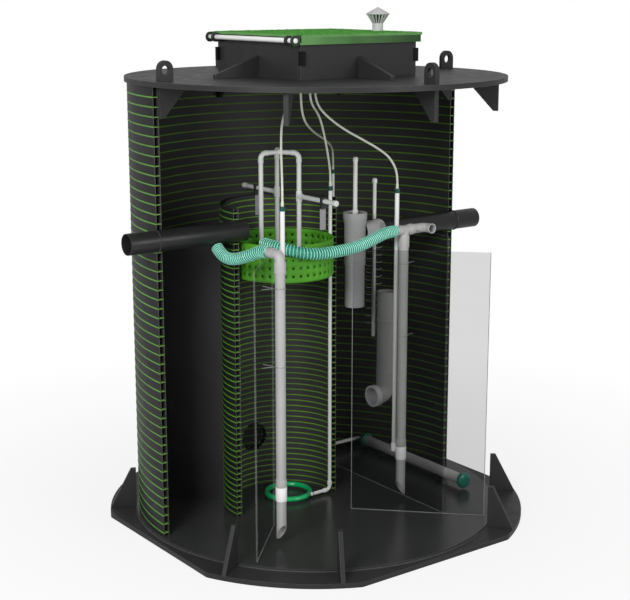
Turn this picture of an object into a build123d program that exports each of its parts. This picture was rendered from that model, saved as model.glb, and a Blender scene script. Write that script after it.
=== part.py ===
from build123d import *
import math
import os

# A packaged sewage treatment plant in a plastic tank, cut open at the front to show its chambers.
# Millimetres. The origin is the centre of the underside of the base plate and +Z is up.
# +X is the outlet side, -X the inlet side, and -Y the open side, where the wall is cut away.

# Clearance between pieces that pass through or slide into each other
FIT = 0.3

# Tank shell
TANK_R = 1000
TANK_WALL = 32
TANK_TOP = 2393
WALL_SEGMENTS = 6
INNER_SEGMENTS = 3
BASE_T = 26
BASE_EDGE = 2
BASE_SIDE_EDGE = 35
FLOOR_RIM = 14
FLOOR_T = 12
ROOF_RIM = 14
ROOF_T = 26
ACCESS_HALF = 290

# Stiffening plates and lifting lugs
BASE_GUSSET_REACH = 144
BASE_GUSSET_TOP = 250
BASE_GUSSET_NOSE = 28
BASE_GUSSET_T = 22
BASE_GUSSET_ANGLES = (30, 60, 120, 150, 210, 240, 300, 330)
ROOF_GUSSET_DROP = 156
ROOF_GUSSET_NOSE = 27
ROOF_GUSSET_REACH = 168
ROOF_GUSSET_T = 24
ROOF_GUSSETS = 8
LUG_R = 928
LUG_WIDTH = 85
LUG_HEIGHT = 100
LUG_T = 24
LUG_HOLE_R = 22.5
LUG_HOLE_HEIGHT = 53

# Access neck and lid
NECK_HALF = 375
NECK_WALL = 20
NECK_HEIGHT = 209
TENON_LOW = 72
TENON_HEIGHT = 69
TENON_STICK_OUT = 18
NECK_GUSSET_LENGTH = 265
NECK_GUSSET_HEIGHT = 110
NECK_GUSSET_NOSE = 20
NECK_GUSSET_T = 24
LID_OVER_WEST = 9
LID_OVER_EAST = 31
LID_OVER_SOUTH = 13
LID_OVER_NORTH = 20
LID_T = 12
LID_LIP = 10
SKIRT_T = 6
SKIRT_DROP = 36
HINGE_OUT = 39
HINGE_BELOW_RIM = 15
HINGE_TUBE_R = 12.5
HINGE_TUBE_STICK_OUT = 4
NECK_EAR_R = 25
NECK_EAR_T = 15
NECK_EAR_Y = (-330, 335)
LID_EAR_R = 26.5
LID_EAR_T = 8
VENT_X = 335
VENT_Y = -105
VENT_STEM_R = 29
VENT_STEM_HEIGHT = 42
VENT_RIM_R = 63.5
VENT_RIM_HEIGHT = 89
VENT_HEIGHT = 128

# Inner round chamber and its basket
INNER_X = -198
INNER_Y = 30
INNER_R = 340
INNER_WALL = 32
INNER_TOP = 1745
INNER_HOLE_R = 82.5
INNER_HOLE_Z = 342
BASKET_R = 272
BASKET_WALL = 4
BASKET_FLOOR_T = 6
BASKET_LOW = 1358
BASKET_HEIGHT = 200
BASKET_NOTCH_ANGLE = 234
BASKET_NOTCH_WIDTH = 200
BASKET_NOTCH_DEPTH = 58

# Basket handle
HANDLE_X = -215
HANDLE_Y = 42
HANDLE_R = 12.5
HANDLE_HUB_R = 17
HANDLE_SPREAD = 117
HANDLE_TOP = 2028
HANDLE_BEND = 30
HANDLE_LEGS = (180, 60, 300)
ARM_Z = 1785
ARM_FRONT_Y = -389
ARM_BACK_Y = 470
ARM_CAP_R = 15.5
ARM_CAP_LENGTH = 26
ARM_SLEEVE_R = 16
ARM_SLEEVE_LENGTH = 56
BRACKET_WIDTH = 37
BRACKET_DEPTH = 13
BRACKET_RISE = 20
PLATE_T = 4
PLATE_DROP = 112

# Partitions
PANEL_T = 10
DARK_PANEL_ANGLE = 135
DARK_PANEL_TOP = 1588
LEFT_PANEL_ANGLE = 225
LEFT_PANEL_TOP = 1538
RIGHT_PANEL_X = 409
RIGHT_PANEL_TOP = 1588
SLANT_SUM = -229
SLANT_START_X = 43
SLANT_ANGLE = -45
SLANT_TOP = 1509

# Inlet and outlet
MAIN_R = 55
MAIN_WALL = 4
PIPE_END_X = 1170
WELD = 4
INLET_Z = 1625
INLET_INNER_X = -470
STUB_X = -657
STUB_R = 27
STUB_PITCH = 42
STUB_LENGTH = 44
STUB_LEAD_LENGTH = 54
OUTLET_Z = 1534
OUTLET_INNER_X = 420
TEE_X = 272
TEE_BODY_R = 60
TEE_RIM_R = 67.5
TEE_RIM_HEIGHT = 28
TEE_TOP = 1650
TEE_SOCKET_DEPTH = 60
TEE_BODY_LOW = 1352
TEE_LOW = 1114
PLUG_RECESS = 8
BRANCH_RIM_R = 62
BRANCH_RIM_LENGTH = 31
OUTLET_ROD_R = 12
OUTLET_ROD_TOP = 1958
ROD_FOOT_R = 17
ROD_FOOT_HEIGHT = 24
ROD_CAP_R = 14.5
ROD_CAP_HEIGHT = 26

# Transfer riser and brush
TRANSFER_X = 472
TRANSFER_Y = -44
TRANSFER_TOP = 1182
TRANSFER_Z = 575
TRANSFER_MOUTH_X = 368
COLLAR_R = 62
TRANSFER_RING_Z = (1006, 700)
TRANSFER_RING_HEIGHT = 14
TRANSFER_RING_R = 57.5
BRUSH_X = 464
BRUSH_R = 10.5
BRUSH_LOW = 896
BRUSH_TOP = 1818
BRISTLE_LOW = 955
BRISTLE_PITCH = 42
BRISTLES = 12
BRISTLE_R = 2
BRISTLE_REACH = 46
BRISTLE_TURN = 60

# Airlifts
RISER_R = 26
RISER_WALL = 3
RISER_TIP = 70
RISER_BEVEL = 90
LEFT_FOOT_TURN = -90
RIGHT_FOOT_TURN = 180
RISER_BEND = 32
SOCKET_R = 30
LEFT_LIFT_X = -570
LEFT_LIFT_Y = -467
LEFT_RUN_Z = 1576
LEFT_MOUTH_Y = -370
RIGHT_LIFT_X = 341
RIGHT_LIFT_Y = -340
RIGHT_RUN_Z = 1590
RIGHT_STUB_X = 281
RIGHT_SOCKET_X = 399
RIGHT_ELBOW_X = 491
RIGHT_MOUTH_Y = -400
RISER_SOCKET_LENGTH = 62
BAND_LOW = 288
BAND_HEIGHT = 75
BAND_BOSS_R = 16
LIFT_AIR_R = 12
LEFT_AIR_SHIFT = (41, 35)
RIGHT_AIR_SHIFT = (-14, 45)
CLIP_HEIGHTS = (1000, 1405)
CLIP_WIRE = 4

# Aerators
PIPE_TOP = 1788
COUPLER_R = 15
COUPLER_HEIGHT = 34
NIPPLE_R = 9
NIPPLE_HEIGHT = 14
AIR_R = 10
RING_AIR_X = 95
RING_AIR_Y = -4
RING_X = -119
RING_Y = 103
RING_R = 123
RING_TUBE_R = 15
RING_JOIN_ANGLE = -66
AERATOR_Z = 60
RING_FEET = 3
RING_FOOT_R = 12
TUBE_AIR_X = 535
TUBE_AIR_Y = 548
TUBE_TO_WALL = 213
TUBE_Z = 90
TUBE_R = 30
TUBE_SOUTH = -400
TUBE_NORTH = 467
TUBE_CAP_R = 45
TUBE_CAP_LENGTH = 35
SADDLE_Y = (-230, 290)
SADDLE_WIDTH = 50
SADDLE_LENGTH = 40
PIPE_BEND = 24

# Hoses
AIR_HOSE_R = 6
HOSE_LEAD = 44
GLAND_R = 11
GLAND_HEIGHT = 20
SLUDGE_HOSE_R = 32

# Heights and radii that follow from the sizes above
FLOOR_Z = BASE_T + FLOOR_T
TANK_INNER_R = TANK_R - TANK_WALL
FLOOR_R = TANK_R + FLOOR_RIM
BASE_R = FLOOR_R + BASE_GUSSET_REACH + BASE_EDGE
BASE_HALF = FLOOR_R + BASE_SIDE_EDGE
ROOF_R = TANK_R + ROOF_RIM
TUBE_X = TANK_INNER_R - TUBE_TO_WALL
LID_WEST = -NECK_HALF - LID_OVER_WEST
LID_EAST = NECK_HALF + LID_OVER_EAST
LID_SOUTH = -NECK_HALF - LID_OVER_SOUTH
LID_NORTH = NECK_HALF + LID_OVER_NORTH
HINGE_X = -NECK_HALF - HINGE_OUT
ROOF_TOP = TANK_TOP + ROOF_T
NECK_TOP = ROOF_TOP + NECK_HEIGHT
LID_LOW = NECK_TOP + FIT
LID_TOP = LID_LOW + LID_T
HINGE_Z = NECK_TOP - HINGE_BELOW_RIM
BASKET_TOP = BASKET_LOW + BASKET_HEIGHT
BASKET_FLOOR_Z = BASKET_LOW + BASKET_FLOOR_T
MAIN_BORE_R = MAIN_R - MAIN_WALL
RISER_BORE_R = RISER_R - RISER_WALL
COUPLER_TOP = PIPE_TOP + COUPLER_HEIGHT + NIPPLE_HEIGHT
GLAND_LOW = TANK_TOP - GLAND_HEIGHT
LEFT_AIR = (LEFT_LIFT_X + LEFT_AIR_SHIFT[0], LEFT_LIFT_Y + LEFT_AIR_SHIFT[1])
RIGHT_AIR = (RIGHT_LIFT_X + RIGHT_AIR_SHIFT[0], RIGHT_LIFT_Y + RIGHT_AIR_SHIFT[1])
RING_AIR = (RING_AIR_X, RING_AIR_Y)
TUBE_AIR = (TUBE_AIR_X, TUBE_AIR_Y)
AIR_PIPES = (LEFT_AIR, TUBE_AIR, RING_AIR, RIGHT_AIR)

# Routes of the four air hoses, from the gland under the roof to the coupler on each air pipe
AIR_ROUTES = (
    (
        (-335, -215, GLAND_LOW),
        (-335, -215, 2338),
        (-362, -234, 2272),
        (-423, -280, 2205),
        (-461, -327, 2120),
        (-491, -372, 2030),
        (-518, -415, 1940),
        (*LEFT_AIR, COUPLER_TOP + HOSE_LEAD),
        (*LEFT_AIR, COUPLER_TOP),
    ),
    (
        (-337, -325, GLAND_LOW),
        (-337, -325, 2330),
        (-314, -302, 2262),
        (-252, -240, 2205),
        (-167, -155, 2165),
        (-68, -56, 2129),
        (30, 43, 2098),
        (129, 142, 2070),
        (228, 241, 2043),
        (327, 340, 2013),
        (412, 425, 1984),
        (480, 493, 1957),
        (520, 533, 1925),
        (*TUBE_AIR, COUPLER_TOP + HOSE_LEAD),
        (*TUBE_AIR, COUPLER_TOP),
    ),
    (
        (-287, -335, GLAND_LOW),
        (-287, -335, 2336),
        (-262, -313, 2300),
        (-208, -266, 2266),
        (-153, -219, 2237),
        (-108, -180, 2204),
        (-60, -138, 2152),
        (-15, -99, 2090),
        (27, -63, 2022),
        (67, -28, 1950),
        (*RING_AIR, COUPLER_TOP + HOSE_LEAD),
        (*RING_AIR, COUPLER_TOP),
    ),
    (
        (-237, -310, GLAND_LOW),
        (-237, -310, 2328),
        (-205, -309, 2266),
        (-132, -307, 2207),
        (-32, -304, 2146),
        (83, -301, 2091),
        (183, -298, 2041),
        (262, -296, 1992),
        (308, -295, 1935),
        (*RIGHT_AIR, COUPLER_TOP + HOSE_LEAD),
        (*RIGHT_AIR, COUPLER_TOP),
    ),
)

# Routes of the two sludge hoses, from each airlift to the inlet pipe and to the basket
STUB_RUN = (0, math.cos(math.radians(STUB_PITCH)), math.sin(math.radians(STUB_PITCH)))
STUB_END = (STUB_X, -22.5, 1563)
STUB_LEAD = tuple(end - STUB_LEAD_LENGTH * run for end, run in zip(STUB_END, STUB_RUN))
SLUDGE_ROUTES = (
    (
        (LEFT_LIFT_X, LEFT_MOUTH_Y, LEFT_RUN_Z),
        (LEFT_LIFT_X, -320, LEFT_RUN_Z),
        (-581, -265, 1555),
        (-605, -195, 1525),
        (-637, -122, 1506),
        STUB_LEAD,
        STUB_END,
    ),
    (
        (RIGHT_STUB_X, RIGHT_LIFT_Y, RIGHT_RUN_Z),
        (215, RIGHT_LIFT_Y, RIGHT_RUN_Z),
        (140, -336, 1563),
        (40, -326, 1530),
        (-85, -308, 1514),
        (-205, -290, 1512),
        (-285, -268, 1522),
        (-345, -215, 1540),
        (-378, -140, 1552),
        (-394, -62, 1556),
    ),
)

UPRIGHT = (Align.CENTER, Align.CENTER, Align.MIN)
PARTS = {}


def post(radius, low, high, x=0, y=0):
    """Upright round bar, or the shape of a hole, between two heights."""
    return Pos(x, y, low) * Cylinder(radius, high - low, align=UPRIGHT)


def pipe(outer, inner, low, high, x=0, y=0):
    """Upright round tube."""
    return post(outer, low, high, x, y) - post(inner, low, high, x, y)


def rod(start, end, radius):
    """Round bar between two points."""
    run = Vector(*end) - Vector(*start)
    return Plane(origin=start, z_dir=run) * Cylinder(radius, run.length, align=UPRIGHT)


def block(x, y, z):
    """Box between two values along each axis."""
    sizes = (x[1] - x[0], y[1] - y[0], z[1] - z[0])
    return Pos(x[0], y[0], z[0]) * Box(*sizes, align=(Align.MIN, Align.MIN, Align.MIN))


def upright_plate(points, thickness, angle=0):
    """Plate outlined by (radius, height) points, standing in a plane through the tank's axis."""
    outline = Plane.XZ * make_face(Polyline(*points, close=True))
    return Rot(0, 0, angle) * extrude(outline, thickness / 2, both=True)


def corner_radii(points):
    """Largest even radius at each corner of a route, from its two runs and half its turn."""
    radii = []
    for before, corner, after in zip(points, points[1:], points[2:]):
        first = Vector(*corner) - Vector(*before)
        second = Vector(*after) - Vector(*corner)
        half_turn = math.radians(first.get_angle(second)) / 2
        radii.append(0.45 * min(first.length, second.length) / math.tan(half_turn))
    return radii


def bent_rod(points, radius, bends):
    """Round bar along straight runs joined by arcs."""
    path = FilletPolyline(*points, radius=bends)
    return sweep(Plane(origin=path @ 0, z_dir=path % 0) * Circle(radius), path=path)


def hose(points, radius, name):
    """Free hose along its route, checked against its section times its length."""
    radii = corner_radii(points)
    path = FilletPolyline(*points, radius=radii)
    solid = sweep(Plane(origin=path @ 0, z_dir=path % 0) * Circle(radius), path=path)
    expected = math.pi * radius**2 * path.length
    print(name, "length", round(path.length), "volume share", round(solid.volume / expected, 4))
    print(name, "radii", [round(r) for r in radii])
    return solid


def base_plate():
    square = block((-BASE_HALF, BASE_HALF), (-BASE_HALF, BASE_HALF), (0, BASE_T))
    PARTS["base_plate"] = post(BASE_R, 0, BASE_T) & square


def tank_floor():
    PARTS["tank_floor"] = post(FLOOR_R, BASE_T, FLOOR_Z)


def base_gussets():
    points = [
        (FLOOR_R, BASE_T),
        (FLOOR_R + BASE_GUSSET_REACH, BASE_T),
        (FLOOR_R + BASE_GUSSET_NOSE, BASE_GUSSET_TOP),
        (FLOOR_R, BASE_GUSSET_TOP),
    ]
    PARTS["base_gussets"] = [upright_plate(points, BASE_GUSSET_T, a) for a in BASE_GUSSET_ANGLES]


def curved_wall(outer, wall, low, high, start, sweep_angle):
    """Stretch of round wall about the Z axis, from one angle on."""
    sector = Cylinder(outer, high - low, arc_size=sweep_angle, align=(Align.NONE, Align.NONE, Align.MIN))
    return Pos(0, 0, low) * Rot(0, 0, start) * sector - post(outer - wall, low, high)


def outer_wall():
    inlet_hole = rod((-PIPE_END_X, 0, INLET_Z), (0, 0, INLET_Z), MAIN_R + FIT)
    outlet_hole = rod((0, 0, OUTLET_Z), (PIPE_END_X, 0, OUTLET_Z), MAIN_R + FIT)
    step = 180 / WALL_SEGMENTS
    for number in range(WALL_SEGMENTS):
        wall = curved_wall(TANK_R, TANK_WALL, FLOOR_Z, TANK_TOP, number * step, step)
        if number == 0:
            wall -= outlet_hole
        if number == WALL_SEGMENTS - 1:
            wall -= inlet_hole
        PARTS[f"outer_wall_{number + 1}"] = wall


def top_plate():
    low = (-ACCESS_HALF, ACCESS_HALF)
    PARTS["top_plate"] = post(ROOF_R, TANK_TOP, ROOF_TOP) - block(low, low, (TANK_TOP, ROOF_TOP))


def roof_gussets():
    edge = math.sqrt(TANK_INNER_R**2 - (ROOF_GUSSET_T / 2) ** 2)
    low = TANK_TOP - ROOF_GUSSET_DROP
    nose = edge - ROOF_GUSSET_NOSE
    points = [(edge, TANK_TOP), (edge, low), (nose, low), (edge - ROOF_GUSSET_REACH, TANK_TOP)]
    angles = [360 / ROOF_GUSSETS * n for n in range(ROOF_GUSSETS)]
    PARTS["roof_gussets"] = [upright_plate(points, ROOF_GUSSET_T, a) for a in angles]


def lifting_lugs():
    half = LUG_WIDTH / 2
    shoulder = ROOF_TOP + LUG_HEIGHT - half
    body = block((LUG_R - half, LUG_R + half), (-LUG_T / 2, LUG_T / 2), (ROOF_TOP, shoulder))
    ends = ((LUG_R, -LUG_T / 2, shoulder), (LUG_R, LUG_T / 2, shoulder))
    hole_z = ROOF_TOP + LUG_HOLE_HEIGHT
    hole = rod((LUG_R, -LUG_T, hole_z), (LUG_R, LUG_T, hole_z), LUG_HOLE_R)
    lug = body + rod(*ends, half) - hole
    PARTS["lifting_lugs"] = [Rot(0, 0, angle) * lug for angle in (0, 90, 180, 270)]


def neck_walls():
    inner = NECK_HALF - NECK_WALL
    tenon_z = (ROOF_TOP + TENON_LOW, ROOF_TOP + TENON_LOW + TENON_HEIGHT)
    sheet_y = (-NECK_HALF, -inner)
    sheet = block((-NECK_HALF, inner), sheet_y, (ROOF_TOP, NECK_TOP))
    tenon = block((inner, NECK_HALF + TENON_STICK_OUT), sheet_y, tenon_z)
    mortise = block((-NECK_HALF, -inner), sheet_y, tenon_z)
    wall = sheet + tenon - mortise
    for number, side in enumerate(("south", "east", "north", "west")):
        PARTS[f"neck_wall_{side}"] = Rot(0, 0, 90 * number) * wall


def neck_gussets():
    reach = NECK_HALF + NECK_GUSSET_LENGTH
    points = [
        (NECK_HALF, ROOF_TOP),
        (reach, ROOF_TOP),
        (reach, ROOF_TOP + NECK_GUSSET_NOSE),
        (NECK_HALF, ROOF_TOP + NECK_GUSSET_HEIGHT),
    ]
    PARTS["neck_gussets"] = [upright_plate(points, NECK_GUSSET_T, a) for a in (0, 90, 180, 270)]


def hinge_line(y_from, y_to, radius):
    """Round bar along the hinge axis."""
    return rod((HINGE_X, y_from, HINGE_Z), (HINGE_X, y_to, HINGE_Z), radius)


def hinge():
    ears = []
    for y in NECK_EAR_Y:
        south = y - NECK_EAR_T / 2
        north = y + NECK_EAR_T / 2
        web = block((HINGE_X, -NECK_HALF), (south, north), (HINGE_Z - NECK_EAR_R, HINGE_Z))
        ear = hinge_line(south, north, NECK_EAR_R) + web
        ears.append(ear - hinge_line(south, north, HINGE_TUBE_R + FIT))
    PARTS["hinge_ears"] = ears
    ends = (LID_SOUTH - HINGE_TUBE_STICK_OUT, LID_NORTH + HINGE_TUBE_STICK_OUT)
    PARTS["hinge_tube"] = hinge_line(*ends, HINGE_TUBE_R)


def lid():
    across = (LID_SOUTH, LID_NORTH)
    skirt_z = (NECK_TOP - SKIRT_DROP, LID_LOW)
    skirt_east = LID_EAST - LID_LIP
    along = (LID_WEST, skirt_east)
    body = block((LID_WEST, LID_EAST), across, (LID_LOW, LID_TOP))
    body += block(along, (LID_SOUTH, LID_SOUTH + SKIRT_T), skirt_z)
    body += block(along, (LID_NORTH - SKIRT_T, LID_NORTH), skirt_z)
    body += block((skirt_east - SKIRT_T, skirt_east), across, skirt_z)
    for south, north in ((LID_SOUTH, LID_SOUTH + LID_EAR_T), (LID_NORTH - LID_EAR_T, LID_NORTH)):
        body += hinge_line(south, north, LID_EAR_R)
        body += block((HINGE_X, LID_WEST + SKIRT_T), (south, north), (HINGE_Z - HINGE_TUBE_R, LID_TOP))
        body -= hinge_line(south, north, HINGE_TUBE_R + FIT)
    PARTS["lid"] = body


def vent_cowl():
    outline = [
        (0, 0),
        (VENT_STEM_R, 0),
        (VENT_STEM_R, VENT_STEM_HEIGHT),
        (VENT_RIM_R, VENT_RIM_HEIGHT),
        (VENT_RIM_R, VENT_RIM_HEIGHT + 3),
        (0, VENT_HEIGHT),
    ]
    profile = make_face(Plane.XZ * Polyline(*outline, close=True))
    PARTS["vent_cowl"] = Pos(VENT_X, VENT_Y, LID_TOP) * revolve(profile, Axis.Z)


def inner_wall():
    cut_angle = math.degrees(math.asin(INNER_Y / (INNER_R - INNER_WALL))) + 1
    step = 180 / INNER_SEGMENTS
    starts = (-cut_angle, step, 2 * step)
    spans = (step + cut_angle, step, step + cut_angle)
    kept = block((-TANK_R, TANK_R), (0, TANK_R), (FLOOR_Z, INNER_TOP))
    hole = rod((INNER_X, INNER_Y, INNER_HOLE_Z), (INNER_X, TANK_R, INNER_HOLE_Z), INNER_HOLE_R)
    inlet_hole = rod((-TANK_R, 0, INLET_Z), (INNER_X, 0, INLET_Z), MAIN_R + FIT)
    for number, (start, span) in enumerate(zip(starts, spans)):
        ring = curved_wall(INNER_R, INNER_WALL, FLOOR_Z, INNER_TOP, start, span)
        PARTS[f"inner_wall_{number + 1}"] = (Pos(INNER_X, INNER_Y, 0) * ring & kept) - hole - inlet_hole


def chamber_panel(angle, top):
    """Upright panel from the inner chamber's wall out to the tank wall."""
    slab = block((0, 2 * TANK_R), (-PANEL_T / 2, PANEL_T / 2), (FLOOR_Z, top))
    slab = Pos(INNER_X, INNER_Y, 0) * Rot(0, 0, angle) * slab
    return (slab & post(TANK_INNER_R, FLOOR_Z, top)) - post(INNER_R, FLOOR_Z, top, INNER_X, INNER_Y)


def slant_place():
    """Start of the slanting panel in plan, turned along it."""
    return Pos(SLANT_START_X, SLANT_SUM - SLANT_START_X, 0) * Rot(0, 0, SLANT_ANGLE)


def slant_panel():
    """Panel across the front right, from the inner chamber's side to the tank wall."""
    slab = slant_place() * block((0, 2 * TANK_R), (-PANEL_T / 2, PANEL_T / 2), (FLOOR_Z, SLANT_TOP))
    return slab & post(TANK_INNER_R, FLOOR_Z, SLANT_TOP)


def right_panel():
    half = PANEL_T / 2
    heights = (FLOOR_Z, RIGHT_PANEL_TOP)
    slab = block((RIGHT_PANEL_X - half, RIGHT_PANEL_X + half), (-TANK_R, TANK_R), heights)
    slab &= post(TANK_INNER_R, *heights)
    slab &= slant_place() * block((-2 * TANK_R, 2 * TANK_R), (half, 3 * TANK_R), heights)
    west = RIGHT_PANEL_X - PANEL_T
    east = RIGHT_PANEL_X + PANEL_T
    hole = MAIN_R + FIT
    slab -= rod((west, TRANSFER_Y, TRANSFER_Z), (east, TRANSFER_Y, TRANSFER_Z), hole)
    slab -= rod((west, 0, OUTLET_Z), (east, 0, OUTLET_Z), hole)
    slab -= block((west, east), (-hole, hole), (OUTLET_Z, RIGHT_PANEL_TOP))
    run = ((west, RIGHT_LIFT_Y, RIGHT_RUN_Z), (east, RIGHT_LIFT_Y, RIGHT_RUN_Z))
    return slab - rod(*run, RISER_R + FIT)


def partitions():
    PARTS["partition_back_left"] = chamber_panel(DARK_PANEL_ANGLE, DARK_PANEL_TOP)
    PARTS["partition_front_left"] = chamber_panel(LEFT_PANEL_ANGLE, LEFT_PANEL_TOP)
    PARTS["partition_front_right"] = slant_panel()
    PARTS["partition_right"] = right_panel()


def pipe_weld(side, z):
    """Weld bead round a main pipe where it leaves the tank wall."""
    start = (side * (TANK_R - WELD), 0, z)
    end = (side * (TANK_R + WELD), 0, z)
    return rod(start, end, MAIN_R + WELD) - post(TANK_R, FLOOR_Z, TANK_TOP)


def inlet_pipe():
    ends = ((-PIPE_END_X, 0, INLET_Z), (INLET_INNER_X, 0, INLET_Z))
    stub_top = tuple(end + STUB_LENGTH * run for end, run in zip(STUB_END, STUB_RUN))
    stub = rod(STUB_END, stub_top, STUB_R)
    body = rod(*ends, MAIN_R) + stub + pipe_weld(-1, INLET_Z)
    PARTS["inlet_pipe"] = body - rod(*ends, MAIN_BORE_R)


def outlet_pipe():
    ends = ((OUTLET_INNER_X, 0, OUTLET_Z), (PIPE_END_X, 0, OUTLET_Z))
    PARTS["outlet_pipe"] = rod(*ends, MAIN_R) + pipe_weld(1, OUTLET_Z) - rod(*ends, MAIN_BORE_R)


def outlet_tee():
    socket_low = TEE_TOP - TEE_SOCKET_DEPTH
    rim_x = OUTLET_INNER_X + BRANCH_RIM_LENGTH
    rim_start = RIGHT_PANEL_X + PANEL_T / 2
    body = post(MAIN_R, TEE_LOW, TEE_TOP, TEE_X)
    body += post(TEE_BODY_R, TEE_BODY_LOW, TEE_TOP, TEE_X)
    body += post(TEE_RIM_R, TEE_TOP - TEE_RIM_HEIGHT, TEE_TOP, TEE_X)
    body += rod((TEE_X, 0, OUTLET_Z), (rim_x, 0, OUTLET_Z), MAIN_R)
    body += rod((rim_start, 0, OUTLET_Z), (rim_x, 0, OUTLET_Z), BRANCH_RIM_R)
    body -= post(MAIN_BORE_R, TEE_LOW, socket_low, TEE_X)
    body -= post(MAIN_R + FIT, socket_low, TEE_TOP, TEE_X)
    body -= rod((TEE_X, 0, OUTLET_Z), (OUTLET_INNER_X, 0, OUTLET_Z), MAIN_BORE_R)
    body -= rod((OUTLET_INNER_X, 0, OUTLET_Z), (rim_x, 0, OUTLET_Z), MAIN_R + FIT)
    PARTS["outlet_tee"] = body


def outlet_rod():
    plug_top = TEE_TOP - PLUG_RECESS
    plug = post(MAIN_R, TEE_TOP - TEE_SOCKET_DEPTH, plug_top, TEE_X)
    shaft = post(OUTLET_ROD_R, plug_top, OUTLET_ROD_TOP, TEE_X)
    foot = post(ROD_FOOT_R, plug_top, plug_top + ROD_FOOT_HEIGHT, TEE_X)
    cap = post(ROD_CAP_R, OUTLET_ROD_TOP - ROD_CAP_HEIGHT, OUTLET_ROD_TOP, TEE_X)
    PARTS["outlet_rod"] = plug + shaft + foot + cap


def elbow(corner, end, mouth, radius):
    """Bent pipe from a height above or below its corner round to a level mouth."""
    upright = rod((corner[0], corner[1], end), corner, radius)
    return upright + Pos(*corner) * Sphere(radius) + rod(corner, mouth, radius)


def transfer_riser():
    corner = (TRANSFER_X, TRANSFER_Y, TRANSFER_Z)
    mouth = (TRANSFER_MOUTH_X, TRANSFER_Y, TRANSFER_Z)
    collar_end = (RIGHT_PANEL_X - PANEL_T / 2, TRANSFER_Y, TRANSFER_Z)
    body = elbow(corner, TRANSFER_TOP, mouth, MAIN_R) + rod(collar_end, mouth, COLLAR_R)
    for ring_z in TRANSFER_RING_Z:
        body += post(TRANSFER_RING_R, ring_z, ring_z + TRANSFER_RING_HEIGHT, TRANSFER_X, TRANSFER_Y)
    PARTS["transfer_riser"] = body - elbow(corner, TRANSFER_TOP, mouth, MAIN_BORE_R)


def brush():
    y = MAIN_R + BRUSH_R + FIT
    body = post(BRUSH_R, BRUSH_LOW, BRUSH_TOP, BRUSH_X, y)
    body += post(ROD_CAP_R, BRUSH_TOP - ROD_CAP_HEIGHT, BRUSH_TOP, BRUSH_X, y)
    for number in range(BRISTLES):
        z = BRISTLE_LOW + number * BRISTLE_PITCH
        bristle = rod((-BRISTLE_REACH, 0, 0), (BRISTLE_REACH, 0, 0), BRISTLE_R)
        body += Pos(BRUSH_X, y, z) * Rot(0, 0, number * BRISTLE_TURN) * bristle
    PARTS["brush"] = body


def riser_tube(x, y, top, turn):
    """Riser with its foot cut on a slant, whose opening faces +X before the turn."""
    tube = pipe(RISER_R, RISER_BORE_R, RISER_TIP, top, x, y)
    low = [(-RISER_R, RISER_TIP), (RISER_R, RISER_TIP), (RISER_R, RISER_TIP + RISER_BEVEL)]
    wedge = extrude(Plane.XZ * make_face(Polyline(*low, close=True)), 2 * RISER_R, both=True)
    return tube - Pos(x, y, 0) * Rot(0, 0, turn) * wedge


def airlifts():
    left_joint = LEFT_RUN_Z - RISER_SOCKET_LENGTH
    right_joint = RIGHT_RUN_Z - RISER_SOCKET_LENGTH
    left = riser_tube(LEFT_LIFT_X, LEFT_LIFT_Y, left_joint, LEFT_FOOT_TURN)
    right = riser_tube(RIGHT_LIFT_X, RIGHT_LIFT_Y, right_joint, RIGHT_FOOT_TURN)
    PARTS["airlift_risers"] = [left, right]
    corner = (LEFT_LIFT_X, LEFT_LIFT_Y, LEFT_RUN_Z)
    mouth = (LEFT_LIFT_X, LEFT_MOUTH_Y, LEFT_RUN_Z)
    socket_low = left_joint - RISER_SOCKET_LENGTH / 2
    route = [(*corner[:2], left_joint), corner, mouth]
    left_elbow = bent_rod(route, RISER_R, [RISER_BEND])
    left_elbow += post(SOCKET_R, socket_low, LEFT_RUN_Z - RISER_BEND, LEFT_LIFT_X, LEFT_LIFT_Y)
    left_elbow -= bent_rod(route, RISER_BORE_R, [RISER_BEND])
    left_elbow -= post(RISER_R + FIT, socket_low, left_joint, LEFT_LIFT_X, LEFT_LIFT_Y)
    PARTS["airlift_left_elbow"] = left_elbow


def right_tee():
    joint = RIGHT_RUN_Z - RISER_SOCKET_LENGTH
    socket_low = joint - RISER_SOCKET_LENGTH / 2
    centre = (RIGHT_LIFT_X, RIGHT_LIFT_Y, RIGHT_RUN_Z)
    stub = (RIGHT_STUB_X, RIGHT_LIFT_Y, RIGHT_RUN_Z)
    corner = (RIGHT_ELBOW_X, RIGHT_LIFT_Y, RIGHT_RUN_Z)
    mouth = (RIGHT_ELBOW_X, RIGHT_MOUTH_Y, RIGHT_RUN_Z)
    socket = (RIGHT_SOCKET_X, RIGHT_LIFT_Y, RIGHT_RUN_Z)
    socket_start = (RIGHT_LIFT_X + SOCKET_R + RISER_WALL, RIGHT_LIFT_Y, RIGHT_RUN_Z)
    body = bent_rod([stub, corner, mouth], RISER_R, [RISER_BEND]) + rod(socket_start, socket, SOCKET_R)
    body += post(RISER_R - FIT, joint, RIGHT_RUN_Z, *centre[:2])
    body += post(SOCKET_R, socket_low, RIGHT_RUN_Z - RISER_BORE_R, *centre[:2])
    body -= bent_rod([stub, corner, mouth], RISER_BORE_R, [RISER_BEND])
    body -= post(RISER_BORE_R - FIT, joint, RIGHT_RUN_Z, *centre[:2])
    body -= post(RISER_R + FIT, socket_low, joint, *centre[:2])
    PARTS["airlift_right_tee"] = body


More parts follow.
